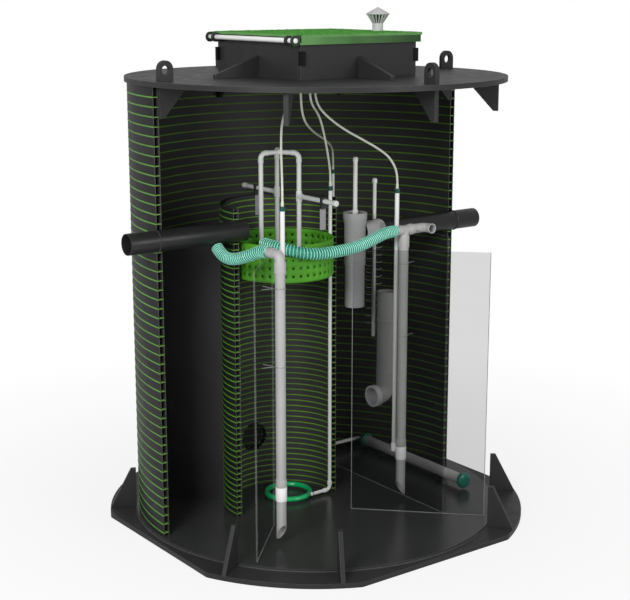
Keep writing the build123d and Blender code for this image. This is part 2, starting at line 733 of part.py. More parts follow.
def airlift_band(x, y, air):
    """Air injection band round a riser, with the boss that the air pipe stands in."""
    top = BAND_LOW + BAND_HEIGHT
    body = post(SOCKET_R, BAND_LOW, top, x, y) + post(BAND_BOSS_R, BAND_LOW + BAND_HEIGHT / 2, top, *air)
    middle = (BAND_LOW + top) / 2
    body += rod((x, y, middle + BAND_BOSS_R), (*air, middle + BAND_BOSS_R), BAND_BOSS_R / 2)
    return body - post(RISER_R + FIT, BAND_LOW, top, x, y)


def clip(x, y, z, target):
    """Wire clip round a riser, reaching to the panel that holds it."""
    ring = pipe(RISER_R + FIT + CLIP_WIRE, RISER_R + FIT, z, z + CLIP_WIRE, x, y)
    run = Vector(*target) - Vector(x, y)
    start = RISER_R + FIT + CLIP_WIRE / 2
    half = CLIP_WIRE / 2
    arm = block((start, run.length), (-half, half), (0, CLIP_WIRE))
    return ring + Pos(x, y, z) * Rot(0, 0, math.degrees(math.atan2(run.Y, run.X))) * arm


def airlift_fittings():
    left = airlift_band(LEFT_LIFT_X, LEFT_LIFT_Y, LEFT_AIR)
    right = airlift_band(RIGHT_LIFT_X, RIGHT_LIFT_Y, RIGHT_AIR)
    PARTS["airlift_bands"] = [left, right]
    low = BAND_LOW + BAND_HEIGHT
    PARTS["airlift_air_pipes"] = [post(LIFT_AIR_R, low, PIPE_TOP, *air) for air in (LEFT_AIR, RIGHT_AIR)]
    sideways = (LEFT_LIFT_X - INNER_X) - (LEFT_LIFT_Y - INNER_Y)
    step = (sideways - PANEL_T / math.sqrt(2)) / 2
    left_target = (LEFT_LIFT_X - step, LEFT_LIFT_Y + step)
    right_target = (RIGHT_PANEL_X - PANEL_T / 2, RIGHT_LIFT_Y)
    clips = [clip(LEFT_LIFT_X, LEFT_LIFT_Y, z, left_target) for z in CLIP_HEIGHTS]
    clips += [clip(RIGHT_LIFT_X, RIGHT_LIFT_Y, z, right_target) for z in CLIP_HEIGHTS]
    PARTS["riser_clips"] = clips


def ring_aerator():
    PARTS["ring_aerator"] = Pos(RING_X, RING_Y, AERATOR_Z) * Torus(RING_R, RING_TUBE_R)
    side = math.radians(RING_JOIN_ANGLE)
    join = (RING_X + RING_R * math.cos(side), RING_Y + RING_R * math.sin(side), AERATOR_Z)
    points = [(*RING_AIR, PIPE_TOP), (*RING_AIR, AERATOR_Z), join]
    seat = Pos(RING_X, RING_Y, AERATOR_Z) * Torus(RING_R, RING_TUBE_R + FIT)
    PARTS["ring_air_pipe"] = bent_rod(points, AIR_R, [PIPE_BEND]) - seat


def tube_aerator():
    body = rod((TUBE_X, TUBE_SOUTH, TUBE_Z), (TUBE_X, TUBE_NORTH, TUBE_Z), TUBE_R)
    PARTS["tube_aerator"] = body
    caps = ((TUBE_SOUTH - TUBE_CAP_LENGTH, TUBE_SOUTH), (TUBE_NORTH, TUBE_NORTH + TUBE_CAP_LENGTH))
    PARTS["tube_caps"] = [rod((TUBE_X, y0, TUBE_Z), (TUBE_X, y1, TUBE_Z), TUBE_CAP_R) for y0, y1 in caps]
    points = [
        (*TUBE_AIR, PIPE_TOP),
        (*TUBE_AIR, TUBE_Z),
        (TUBE_X, TUBE_AIR_Y, TUBE_Z),
        (TUBE_X, TUBE_NORTH + TUBE_CAP_LENGTH, TUBE_Z),
    ]
    PARTS["tube_air_pipe"] = bent_rod(points, AIR_R, [PIPE_BEND, PIPE_BEND])


def aerator_feet():
    ring = Pos(RING_X, RING_Y, AERATOR_Z) * Torus(RING_R, RING_TUBE_R)
    feet = []
    for number in range(RING_FEET):
        angle = math.radians(90 + 360 / RING_FEET * number)
        x = RING_X + RING_R * math.cos(angle)
        y = RING_Y + RING_R * math.sin(angle)
        feet.append(post(RING_FOOT_R, FLOOR_Z, AERATOR_Z, x, y) - ring)
    tube = rod((TUBE_X, TUBE_SOUTH, TUBE_Z), (TUBE_X, TUBE_NORTH, TUBE_Z), TUBE_R)
    half = SADDLE_WIDTH / 2
    for y in SADDLE_Y:
        saddle = block((TUBE_X - half, TUBE_X + half), (y, y + SADDLE_LENGTH), (FLOOR_Z, TUBE_Z))
        feet.append(saddle - tube)
    PARTS["aerator_feet"] = feet


def basket():
    body = post(BASKET_R, BASKET_LOW, BASKET_TOP)
    body -= post(BASKET_R - BASKET_WALL, BASKET_FLOOR_Z, BASKET_TOP)
    half = BASKET_NOTCH_WIDTH / 2
    notch_low = BASKET_TOP - BASKET_NOTCH_DEPTH
    notch = block((BASKET_R / 2, 2 * BASKET_R), (-half, half), (notch_low, BASKET_TOP))
    body -= Rot(0, 0, BASKET_NOTCH_ANGLE) * notch
    PARTS["basket"] = Pos(INNER_X, INNER_Y, 0) * body


def leg_place(angle):
    """Plan position of the handle's leg at an angle."""
    turn = math.radians(angle)
    return HANDLE_X + HANDLE_SPREAD * math.cos(turn), HANDLE_Y + HANDLE_SPREAD * math.sin(turn)


def basket_handle():
    top = HANDLE_TOP - HANDLE_R
    body = Pos(HANDLE_X, HANDLE_Y, top) * Sphere(HANDLE_HUB_R)
    for angle in HANDLE_LEGS:
        x, y = leg_place(angle)
        leg = [(x, y, BASKET_FLOOR_Z), (x, y, top), (HANDLE_X, HANDLE_Y, top)]
        body += bent_rod(leg, HANDLE_R, [HANDLE_BEND])
    half = ARM_SLEEVE_LENGTH / 2
    for angle, end in ((300, ARM_FRONT_Y), (60, ARM_BACK_Y)):
        x, y = leg_place(angle)
        away = math.copysign(1, end - y)
        body += rod((x, y, ARM_Z), (x, end, ARM_Z), HANDLE_R)
        body += post(ARM_SLEEVE_R, ARM_Z - half, ARM_Z + half, x, y)
        body += rod((x, end - away * ARM_CAP_LENGTH, ARM_Z), (x, end, ARM_Z), ARM_CAP_R)
    PARTS["basket_handle"] = body


def handle_brackets():
    x = leg_place(60)[0]
    inner_r = INNER_R - INNER_WALL
    rim = math.sqrt(inner_r**2 - (abs(x - INNER_X) + BRACKET_WIDTH / 2) ** 2)
    half = BRACKET_WIDTH / 2
    across = (x - half, x + half)
    brackets = []
    for side in (-1, 1):
        near = rim - PLATE_T
        body = block(across, (near, rim + BRACKET_DEPTH), (INNER_TOP, ARM_Z + BRACKET_RISE))
        body += block(across, (near, rim), (INNER_TOP - PLATE_DROP, INNER_TOP))
        if side < 0:
            body = Rot(0, 0, 180) * Pos(-2 * x, 0, 0) * body
        body = Pos(0, INNER_Y, 0) * body
        brackets.append(body - rod((x, ARM_FRONT_Y, ARM_Z), (x, ARM_BACK_Y, ARM_Z), HANDLE_R + FIT))
    PARTS["handle_brackets"] = brackets


def couplers_and_glands():
    couplers = []
    for air in AIR_PIPES:
        body = post(COUPLER_R, PIPE_TOP, PIPE_TOP + COUPLER_HEIGHT, *air)
        couplers.append(body + post(NIPPLE_R, PIPE_TOP + COUPLER_HEIGHT, COUPLER_TOP, *air))
    PARTS["air_couplers"] = couplers
    PARTS["hose_glands"] = [post(GLAND_R, GLAND_LOW, TANK_TOP, *route[0][:2]) for route in AIR_ROUTES]


def hoses():
    for number, route in enumerate(AIR_ROUTES, 1):
        PARTS[f"air_hose_{number}"] = hose(route, AIR_HOSE_R, f"air_hose_{number}")
    for number, route in enumerate(SLUDGE_ROUTES, 1):
        PARTS[f"sludge_hose_{number}"] = hose(route, SLUDGE_HOSE_R, f"sludge_hose_{number}")


def main():
    shell = (base_plate, tank_floor, base_gussets, outer_wall, top_plate, roof_gussets, lifting_lugs)
    access = (neck_walls, neck_gussets, hinge, lid, vent_cowl)
    chambers = (inner_wall, partitions, basket, basket_handle, handle_brackets)
    water_pipes = (inlet_pipe, outlet_pipe, outlet_tee, outlet_rod, transfer_riser, brush)
    air_pipes = (airlifts, right_tee, airlift_fittings, ring_aerator, tube_aerator, aerator_feet)
    for make in shell + access + chambers + water_pipes + air_pipes + (couplers_and_glands, hoses):
        make()
    os.makedirs("parts", exist_ok=True)
    for name, shape in PARTS.items():
        solids = shape if isinstance(shape, list) else [shape]
        export_step(Compound(children=solids) if len(solids) > 1 else solids[0], f"parts/{name}.step")
    print(len(PARTS), "parts")


main()
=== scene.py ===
"""The look of a packaged sewage treatment plant in a round plastic tank, cut open at the front.

Lengths are metres. The origin is the centre of the base plate's underside, +Z is up, +X is the outlet side
and -Y is the open front.
"""

import functools
import logging
import math
from dataclasses import dataclass
from enum import Enum
from typing import Optional, Sequence

import bmesh
import bpy
import numpy as np
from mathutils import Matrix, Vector
from mathutils.geometry import tessellate_polygon


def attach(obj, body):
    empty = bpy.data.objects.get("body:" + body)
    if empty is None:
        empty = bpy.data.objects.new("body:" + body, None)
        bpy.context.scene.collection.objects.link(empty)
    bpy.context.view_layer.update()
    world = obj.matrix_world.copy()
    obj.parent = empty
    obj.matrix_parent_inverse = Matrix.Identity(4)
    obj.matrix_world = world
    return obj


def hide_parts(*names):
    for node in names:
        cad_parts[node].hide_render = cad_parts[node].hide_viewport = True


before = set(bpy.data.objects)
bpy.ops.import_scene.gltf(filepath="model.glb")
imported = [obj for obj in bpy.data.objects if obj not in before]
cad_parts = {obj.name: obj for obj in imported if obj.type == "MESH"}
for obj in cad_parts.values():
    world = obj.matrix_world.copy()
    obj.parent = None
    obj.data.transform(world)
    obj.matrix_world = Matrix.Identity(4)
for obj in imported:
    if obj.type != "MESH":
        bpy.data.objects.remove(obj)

LOG = logging.getLogger("treatment_plant")
Array = np.ndarray
Pair = tuple[float, float]
Place = Sequence[float]
Points = Sequence[Place]
Socket = bpy.types.NodeSocket
X_AXIS = np.array((1.0, 0.0, 0.0))
Y_AXIS = np.array((0.0, 1.0, 0.0))
Z_AXIS = np.array((0.0, 0.0, 1.0))
SMOOTH_UNDER = math.radians(35)
MERGE_WITHIN = 1e-6
NO_LENGTH = 1e-12
HINGE_AXIS = (-0.414, 2.613)
HINGE_BORE = 0.0128
COLOUR_SOCKET = "NodeSocketColor"
VALUE_SOCKET = "NodeSocketFloat"
VECTOR_SOCKET = "NodeSocketVector"


class Body(Enum):
    """The moving bodies of the part."""

    TANK = "tank"
    LID = "lid"


class Slot(Enum):
    """The material slots of the part's record."""

    BLACK_PLATE = "black_plate"
    WALL_BLACK = "wall_black"
    LID_GREEN = "lid_green"
    BASKET_GREEN = "basket_green"
    VENT_GREY = "vent_grey"
    PIPE_BLACK = "pipe_black"
    PIPE_GREY = "pipe_grey"
    PIPE_WHITE = "pipe_white"
    PANEL_CLEAR = "panel_clear"
    PANEL_DARK = "panel_dark"
    FITTING_TEAL = "fitting_teal"
    RING_GREEN = "ring_green"
    FOOT_BLACK = "foot_black"
    BRACKET_GREY = "bracket_grey"
    CLIP_WIRE = "clip_wire"
    AIR_HOSE = "air_hose"
    SLUDGE_HOSE = "sludge_hose"


# Finishes


class Graph:
    """A node tree with short ways to add nodes and join them."""

    def __init__(self, tree: bpy.types.NodeTree) -> None:
        """Takes the tree that the nodes go into."""
        self.tree = tree
        self.count = 0

    def add(self, kind: str, **values: object) -> bpy.types.Node:
        """Adds one node.

        Args:
            kind: the node's Blender class.
            values: settings of the node, or values of its input sockets, by name with _ for a space.

        Returns:
            The new node.
        """
        made = self.tree.nodes.new(kind)
        made.location = (200 * (self.count % 8), -260 * (self.count // 8))
        self.count += 1
        for name, value in values.items():
            if hasattr(made, name):
                setattr(made, name, value)
            else:
                self.feed(made.inputs[name.replace("_", " ")], value)
        return made

    def feed(self, socket: Socket, value: object) -> None:
        """Links a socket to another one, or sets its value."""
        if isinstance(value, Socket):
            self.tree.links.new(value, socket)
        else:
            socket.default_value = value

    def group(self, tree: bpy.types.NodeTree, **values: object) -> bpy.types.Node:
        """Adds a shared group with the values of its inputs."""
        return self.add("ShaderNodeGroup", node_tree=tree, **values)

    def place(self) -> Socket:
        """The point's place on its object."""
        return self.add("ShaderNodeTexCoord").outputs["Object"]

    def seen(self) -> Socket:
        """1 for a ray that shows the place to the camera, or else 0."""
        path = self.add("ShaderNodeLightPath")
        return self.math("MAXIMUM", path.outputs["Is Camera Ray"], path.outputs["Is Transmission Ray"])

    def noise(self, place: object, scale: object, detail: float = 3.0) -> Socket:
        """Cloudy noise from 0 to 1 at a place."""
        return self.add("ShaderNodeTexNoise", Vector=place, Scale=scale, Detail=detail).outputs["Fac"]

    def math(self, operation: str, first: object, second: object = 0.0) -> Socket:
        """One sum on two values."""
        made = self.add("ShaderNodeMath", operation=operation)
        self.feed(made.inputs[0], first)
        self.feed(made.inputs[1], second)
        return made.outputs[0]

    def spread(self, value: object, low: float, high: float, to_low: object, to_high: object) -> Socket:
        """Maps a value from one range to another, held at the ends."""
        made = self.add("ShaderNodeMapRange", clamp=True)
        names = ("Value", "From Min", "From Max", "To Min", "To Max")
        for name, given in zip(names, (value, low, high, to_low, to_high)):
            self.feed(made.inputs[name], given)
        return made.outputs["Result"]

    def blend(self, share: object, first: object, second: object) -> Socket:
        """Mixes two colours by a share."""
        made = self.add("ShaderNodeMix", data_type="RGBA")
        self.feed(made.inputs["Factor"], share)
        self.feed(made.inputs[6], first)
        self.feed(made.inputs[7], second)
        return made.outputs[2]


def new_group(
    name: str, inputs: dict[str, str], outputs: dict[str, str],
) -> tuple[Graph, bpy.types.Node, bpy.types.Node]:
    """Starts a shared shader group.

    Args:
        name: the group's name.
        inputs: socket types by input name.
        outputs: socket types by output name.

    Returns:
        The group's graph, its input node and its output node.
    """
    tree = bpy.data.node_groups.new(name, "ShaderNodeTree")
    for way, sockets in (("INPUT", inputs), ("OUTPUT", outputs)):
        for label, kind in sockets.items():
            tree.interface.new_socket(label, in_out=way, socket_type=kind)
    graph = Graph(tree)
    return graph, graph.add("NodeGroupInput"), graph.add("NodeGroupOutput")


@functools.cache
def plastic_colour() -> bpy.types.NodeTree:
    """Builds the group for a plastic's colour: broad cloudy patches, fine specks and a little dust on top faces.

    Returns:
        The group, with inputs Colour, Shade, Patches, Dust and output Colour.
    """
    values = dict.fromkeys(("Shade", "Patches", "Dust"), VALUE_SOCKET)
    kinds = {"Colour": COLOUR_SOCKET, **values}
    graph, given, result = new_group("plastic_colour", kinds, {"Colour": COLOUR_SOCKET})
    place = graph.place()
    cloud = graph.noise(place, given.outputs["Patches"], 4.0)
    speck = graph.noise(place, 420.0, 2.0)
    uneven = graph.math("ADD", graph.spread(cloud, 0.35, 0.65, 0.0, 0.8), graph.spread(speck, 0.4, 0.6, 0.0, 0.2))
    deep = graph.blend(given.outputs["Shade"], given.outputs["Colour"], (0.0, 0.0, 0.0, 1.0))
    body = graph.blend(uneven, deep, given.outputs["Colour"])
    up = graph.add("ShaderNodeSeparateXYZ", Vector=graph.add("ShaderNodeNewGeometry").outputs["Normal"]).outputs["Z"]
    settled = graph.math("MULTIPLY", graph.spread(up, 0.5, 1.0, 0.0, 1.0), graph.spread(cloud, 0.3, 0.7, 0.4, 1.0))
    dusty = graph.math("MULTIPLY", settled, given.outputs["Dust"])
    graph.feed(result.inputs["Colour"], graph.blend(dusty, body, (0.32, 0.31, 0.29, 1.0)))
    return graph.tree


@functools.cache
def plastic_relief() -> bpy.types.NodeTree:
    """Builds the group for a plastic's surface: fine grain over slow waviness, and an uneven polish.

    Returns:
        The group, with inputs Grain, Depth, Wave, Smooth, Rough and outputs Normal and Roughness.
    """
    names = ("Grain", "Depth", "Wave", "Smooth", "Rough")
    outputs = {"Normal": VECTOR_SOCKET, "Roughness": VALUE_SOCKET}
    graph, given, result = new_group("plastic_relief", dict.fromkeys(names, VALUE_SOCKET), outputs)
    place = graph.place()
    grain = graph.noise(place, given.outputs["Grain"], 2.0)
    fine = graph.add("ShaderNodeBump", Strength=0.6, Distance=given.outputs["Depth"], Height=grain)
    slow = graph.noise(place, 7.0, 1.0)
    wavy = graph.add("ShaderNodeBump", Strength=0.5, Distance=given.outputs["Wave"], Height=slow)
    graph.feed(wavy.inputs["Normal"], fine.outputs["Normal"])
    graph.feed(result.inputs["Normal"], wavy.outputs["Normal"])
    polish = graph.noise(place, 16.0, 5.0)
    rough = graph.spread(polish, 0.3, 0.7, given.outputs["Smooth"], given.outputs["Rough"])
    graph.feed(result.inputs["Roughness"], rough)
    return graph.tree


@functools.cache
def painted_edge_highlight() -> bpy.types.NodeTree:
    """Builds the group that paints a highlight on edges, made patchy by noise, where a rounded normal differs from
    the true one.

    Returns:
        The group, with inputs Colour, Edge, Amount, Radius and output Colour.
    """
    inputs = {"Colour": COLOUR_SOCKET, "Edge": COLOUR_SOCKET}
    inputs.update(dict.fromkeys(("Amount", "Radius"), VALUE_SOCKET))
    graph, given, result = new_group("painted_edge_highlight", inputs, {"Colour": COLOUR_SOCKET})
    round_off = graph.add("ShaderNodeBevel", samples=4, Radius=given.outputs["Radius"]).outputs["Normal"]
    true = graph.add("ShaderNodeNewGeometry").outputs["Normal"]
    alike = graph.add("ShaderNodeVectorMath", operation="DOT_PRODUCT")
    graph.feed(alike.inputs[0], round_off)
    graph.feed(alike.inputs[1], true)
    turn = graph.spread(alike.outputs["Value"], 0.9, 0.995, 1.0, 0.0)
    place = graph.place()
    # Painted edge highlight, broken up by noise.
    patchy_highlight = graph.math("MULTIPLY", turn, graph.spread(graph.noise(place, 30.0, 4.0), 0.3, 0.6, 0.3, 1.0))
    share = graph.math("MULTIPLY", patchy_highlight, given.outputs["Amount"])
    graph.feed(result.inputs["Colour"], graph.blend(share, given.outputs["Colour"], given.outputs["Edge"]))
    return graph.tree


@dataclass(frozen=True)
class Finish:
    """One plastic or metal finish, with its colour, its unevenness and its surface relief."""

    name: str
    colour: tuple[float, float, float]
    smooth: float = 0.35
    rough: float = 0.5
    shade: float = 0.25
    patches: float = 5.0
    dust: float = 0.0
    grain: float = 600.0
    depth: float = 0.0002
    wave: float = 0.0
    # The next three fields set the painted edge highlight: its colour, its strength and its width.
    edge: tuple[float, float, float] = (0.3, 0.3, 0.3)
    highlight_amount: float = 0.0
    highlight_radius: float = 0.003
    specular: float = 0.5
    metallic: float = 0.0
    coat: float = 0.0
    alpha: float = 1.0

    @functools.cache
    def material(self) -> bpy.types.Material:
        """Builds the Blender material of this finish, once."""
        made = bpy.data.materials.new(self.name)
        made.use_nodes = True
        graph = Graph(made.node_tree)
        shader = made.node_tree.nodes["Principled BSDF"]
        base = (*self.colour, 1.0)
        painted = graph.group(
            plastic_colour(), Colour=base, Shade=self.shade, Patches=self.patches, Dust=self.dust
        ).outputs["Colour"]
        # Painted highlight along the edges.
        if self.highlight_amount:
            rim = (*self.edge, 1.0)
            highlighted = graph.group(painted_edge_highlight(), Colour=painted, Edge=rim, Amount=self.highlight_amount, Radius=self.highlight_radius)
            painted = highlighted.outputs["Colour"]
        relief = graph.group(
            plastic_relief(),
            Grain=self.grain, Depth=self.depth, Wave=self.wave, Smooth=self.smooth, Rough=self.rough,
        )
        settings = {
            "Base Color": painted,
            "Normal": relief.outputs["Normal"],
            "Roughness": relief.outputs["Roughness"],
            "Specular IOR Level": self.specular,
            "Metallic": self.metallic,
            "Coat Weight": self.coat,
            "Alpha": self.alpha,
        }
        for label, value in settings.items():
            graph.feed(shader.inputs[label], value)
        return made


SATIN_BLACK = Finish(
    "satin_black_plate", (0.030, 0.030, 0.031), 0.36, 0.5, 0.2, 3.0, 0.02, wave=0.002, edge=(0.16, 0.16, 0.16),
    highlight_amount=0.5, specular=0.3,
)
SEAM_BLACK = Finish("black_tenon", (0.006, 0.006, 0.006), 0.5, 0.6, 0.2, 9.0, specular=0.15)
FLOOR_BLACK = Finish(
    "black_floor_sheet", (0.038, 0.039, 0.039), 0.2, 0.27, 0.12, 2.5, 0.0, wave=0.001, edge=(0.2, 0.2, 0.2), highlight_amount=0.7,
    specular=0.45,
)
WALL_BLACK = Finish("black_wall_skin", (0.024, 0.024, 0.025), 0.32, 0.42, 0.3, 4.0, 0.0, wave=0.002, specular=0.14)
# A lighter copy of the wall's black: painted light for the shaded inside faces.
WALL_INSIDE_PAINTED_LIGHT = Finish("black_wall_inside_painted_light", (0.046, 0.047, 0.046), 0.34, 0.46, 0.3, 2.0, wave=0.002, specular=0.25)
PANEL_BLACK = Finish(
    "black_partition_sheet", (0.020, 0.020, 0.020), 0.35, 0.45, 0.3, 3.0, wave=0.003, edge=(0.1, 0.1, 0.1), highlight_amount=0.4,
)
RIB_GREEN = Finish("green_wall_rib", (0.12, 0.37, 0.035), 0.35, 0.5, 0.35, 3.0)
# A duller, yellower copy of the ribs' green: painted shade for the inside beads.
RIB_INSIDE_PAINTED_SHADE = Finish("green_rib_inside_painted_shade", (0.15, 0.33, 0.04), 0.4, 0.55, 0.5, 2.0, specular=0.2)
RIB_CUT = Finish("cut_wall_rib", (0.17, 0.30, 0.07), 0.5, 0.6, 0.2, 30.0)
SKIN_CUT = Finish("cut_wall_skin", (0.075, 0.085, 0.07), 0.5, 0.6, 0.4, 30.0)
LID_TOP = Finish(
    "pebbled_lid_top", (0.09, 0.54, 0.03), 0.55, 0.7, 0.75, 45.0, grain=260.0, depth=0.001, specular=0.15,
)
# A duller, darker copy of the lid's green: painted shade for the skirt's side faces.
LID_SIDE_PAINTED_SHADE = Finish(
    "lid_skirt_painted_shade", (0.15, 0.37, 0.115), 0.45, 0.55, 0.25, 8.0, edge=(0.12, 0.45, 0.06), highlight_amount=0.6, specular=0.3,
)
LID_EAR = Finish("lid_ear", (0.012, 0.035, 0.010), 0.4, 0.5, 0.25, 8.0, edge=(0.05, 0.14, 0.04), highlight_amount=0.5)
BASKET_GREEN = Finish("green_basket_sheet", (0.098, 0.38, 0.028), 0.45, 0.6, 0.2, 7.0, specular=0.2)
VENT_GREY = Finish("grey_vent_plastic", (0.60, 0.60, 0.60), 0.45, 0.55, 0.15, 12.0)
# Painted shade for the hollow inside the vent.
VENT_PAINTED_SHADE = Finish("vent_inside_painted_shade", (0.05, 0.055, 0.05), 0.5, 0.6, 0.3, 12.0)
PIPE_BLACK = Finish(
    "black_drain_pipe", (0.020, 0.020, 0.021), 0.28, 0.4, 0.25, 5.0, edge=(0.13, 0.13, 0.13), highlight_amount=0.4, specular=0.35,
)
PIPE_GREY = Finish("grey_drain_pipe", (0.42, 0.42, 0.42), 0.42, 0.52, 0.1, 6.0, edge=(0.55, 0.55, 0.55), highlight_amount=0.4)
RISER_GREY = Finish("pale_grey_riser", (0.49, 0.49, 0.485), 0.36, 0.48, 0.1, 6.0, edge=(0.7, 0.7, 0.7), highlight_amount=0.4)
PIPE_WHITE = Finish("white_pipe", (0.82, 0.83, 0.81), 0.3, 0.42, 0.08, 7.0)
# A darker copy of the pipes' white: painted shade for the handle inside the tank.
HANDLE_WHITE_PAINTED_SHADE = Finish("white_handle_tube_painted_shade", (0.66, 0.68, 0.66), 0.32, 0.45, 0.08, 7.0)
BAND_WHITE = Finish("white_injection_band", (0.97, 0.98, 0.97), 0.25, 0.35, 0.04, 7.0, coat=0.3)
PANEL_CLEAR = Finish(
    "clear_sheet", (0.008, 0.009, 0.009), 0.12, 0.2, 0.1, 3.0, depth=0.00002, wave=0.001, specular=0.0, alpha=0.17,
)
PANEL_EDGE = Finish("clear_sheet_edge", (0.42, 0.44, 0.43), 0.4, 0.5, 0.3, 40.0, specular=0.1, alpha=0.2)
SHEET_SEAM = Finish("clear_sheet_seam", (0.40, 0.42, 0.41), 0.4, 0.5, 0.5, 60.0)
WELD_GREY = Finish("grey_weld_bead", (0.085, 0.085, 0.086), 0.35, 0.5, 0.5, 60.0)
TEAL = Finish(
    "teal_moulding", (0.004, 0.075, 0.058), 0.3, 0.42, 0.2, 20.0, edge=(0.02, 0.16, 0.13), highlight_amount=0.3,
    highlight_radius=0.001,
)
CAP_TEAL = Finish(
    "teal_end_cap", (0.012, 0.20, 0.14), 0.25, 0.36, 0.3, 12.0, edge=(0.12, 0.45, 0.36), highlight_amount=0.5, coat=0.2,
)
RING_GREEN = Finish("green_aerator_ring", (0.004, 0.46, 0.14), 0.16, 0.26, 0.2, 14.0, coat=0.4)
MEMBRANE = Finish("grey_membrane_tube", (0.58, 0.58, 0.57), 0.45, 0.6, 0.25, 10.0, grain=300.0, depth=0.0006)
FOOT_BLACK = Finish("black_foot", (0.02, 0.02, 0.02), 0.4, 0.5, 0.2, 9.0, edge=(0.12, 0.12, 0.12), highlight_amount=0.4)
HANGER_GREY = Finish("grey_hanging_plate", (0.30, 0.295, 0.31), 0.4, 0.5, 0.15, 9.0, edge=(0.3, 0.3, 0.3), highlight_amount=0.4)
WIRE = Finish("clip_wire", (0.38, 0.38, 0.38), 0.3, 0.4, 0.1, 40.0, metallic=0.6)
AIR_TUBING = Finish("beige_air_tubing", (0.70, 0.71, 0.62), 0.28, 0.4, 0.12, 25.0, coat=0.2)
HOSE_FILM = Finish("hose_film", (0.04, 0.46, 0.33), 0.2, 0.32, 0.3, 18.0, alpha=0.5)
HOSE_COIL = Finish("hose_coil", (0.46, 1.0, 0.82), 0.24, 0.36, 0.12, 25.0, coat=0.2)
RUBBER = Finish("black_rubber_ring", (0.012, 0.012, 0.012), 0.45, 0.6, 0.2, 30.0)


# Shapes


@dataclass
class Surface:
    """Points, and faces of any number of corners, each face with the number of its finish."""

    points: Array
    faces: list[Array]
    marks: list[int]

    def moved(self, by: Place) -> "Surface":
        """The same surface, shifted."""
        return Surface(self.points + np.asarray(by, float), self.faces, self.marks)

    def placed(self, across: Array, along: Array, out: Array, origin: Place) -> "Surface":
        """The same surface with its own three axes laid along the ones given, from an origin."""
        turned = self.points @ np.stack([across, along, out]) + np.asarray(origin, float)
        return Surface(turned, self.faces, self.marks)

    def upright(self) -> "Surface":
        """The same surface, stood up with its own Y along Z."""
        return self.placed(X_AXIS, Z_AXIS, -Y_AXIS, (0, 0, 0))

    def turned(self, degrees: float) -> "Surface":
        """The same surface, turned about the Z axis."""
        c = math.cos(math.radians(degrees))
        s = math.sin(math.radians(degrees))
        return self.placed(np.array((c, s, 0.0)), np.array((-s, c, 0.0)), Z_AXIS, (0, 0, 0))


def joined(surfaces: Sequence[Surface]) -> Surface:
    """Puts several surfaces into one.

    Args:
        surfaces: the surfaces, each with its own finish numbers.

    Returns:
        One surface with all of their points and faces.
    """
    starts = np.cumsum([0] + [len(s.points) for s in surfaces[:-1]])
    points = np.concatenate([s.points for s in surfaces])
    faces = [block + start for s, start in zip(surfaces, starts) for block in s.faces]
    return Surface(points, faces, [mark for s in surfaces for mark in s.marks])


def lattice(rows: int, columns: int, wrap_rows: bool = False, wrap_columns: bool = False) -> Array:
    """Numbers the four-cornered faces between the rows and columns of a grid of points.

    Args:
        rows: how many rows of points there are.
        columns: how many points a row has.
        wrap_rows: whether the last row joins the first.
        wrap_columns: whether the last column joins the first.

    Returns:
        One row of four point numbers for each face, which faces out where columns x rows points out.
    """
    upward = np.arange(rows if wrap_rows else rows - 1)
    across = np.arange(columns if wrap_columns else columns - 1)
    i, j = np.meshgrid(upward, across, indexing="ij")
    below = i * columns
    above = ((i + 1) % rows) * columns
    after = (j + 1) % columns
    return np.stack([below + j, below + after, above + after, above + j], axis=-1).reshape(-1, 4)


def slab(front: Array, back: Array, mark: int = 0, rim_mark: int = 0) -> Surface:
    """Closes two matching grids of points into a sheet of some thickness.

    Args:
        front: rows x columns x 3 points of the outer face.
        back: the same for the inner face.
        mark: finish number of the two faces.
        rim_mark: finish number of the two upright rims.

    Returns:
        The closed sheet.
    """
    rows, columns = front.shape[:2]
    count = rows * columns
    number = np.arange(count).reshape(rows, columns)
    near = lattice(rows, columns)
    far = near[:, ::-1] + count
    rims = []
    upright = ((number[:, 0], False), (number[:, -1], True))
    level = ((number[0], True), (number[-1], False))
    for edge, first_is_front in (*upright, *level):
        near_edge, far_edge = (edge, edge + count) if first_is_front else (edge + count, edge)
        rims.append(np.stack([near_edge[:-1], far_edge[:-1], far_edge[1:], near_edge[1:]], axis=1))
    points = np.concatenate([front.reshape(-1, 3), back.reshape(-1, 3)])
    return Surface(points, [near, far, *rims], [mark, mark, rim_mark, rim_mark, mark, mark])


def softened(profile: Points, size: float, steps: int = 3, closed: bool = True) -> Array:
    """Rounds the corners of an outline with short curves, B(t) = (1-t)^2 a + 2t(1-t) corner + t^2 b.

    Args:
        profile: the outline's corners.
        size: how far the rounding reaches along each side, at most half of the side.
        steps: points on each rounding.
        closed: whether the outline closes, or else keeps its two ends as they are.

    Returns:
        The points of the rounded outline.
    """
    corners = np.asarray(profile, float)
    before = np.roll(corners, 1, axis=0) - corners
    after = np.roll(corners, -1, axis=0) - corners
    lengths = [np.maximum(np.linalg.norm(side, axis=1), NO_LENGTH) for side in (before, after)]
    reach = [np.minimum(size / length, 0.5)[:, None] * side for length, side in zip(lengths, (before, after))]
    t = np.linspace(0, 1, steps)[None, :, None]
    a, c, b = corners + reach[0], corners, corners + reach[1]
    curve = (1 - t) ** 2 * a[:, None] + 2 * t * (1 - t) * c[:, None] + t**2 * b[:, None]
    if closed:
        return curve.reshape(-1, corners.shape[1])
    return np.concatenate([corners[:1], curve[1:-1].reshape(-1, corners.shape[1]), corners[-1:]])


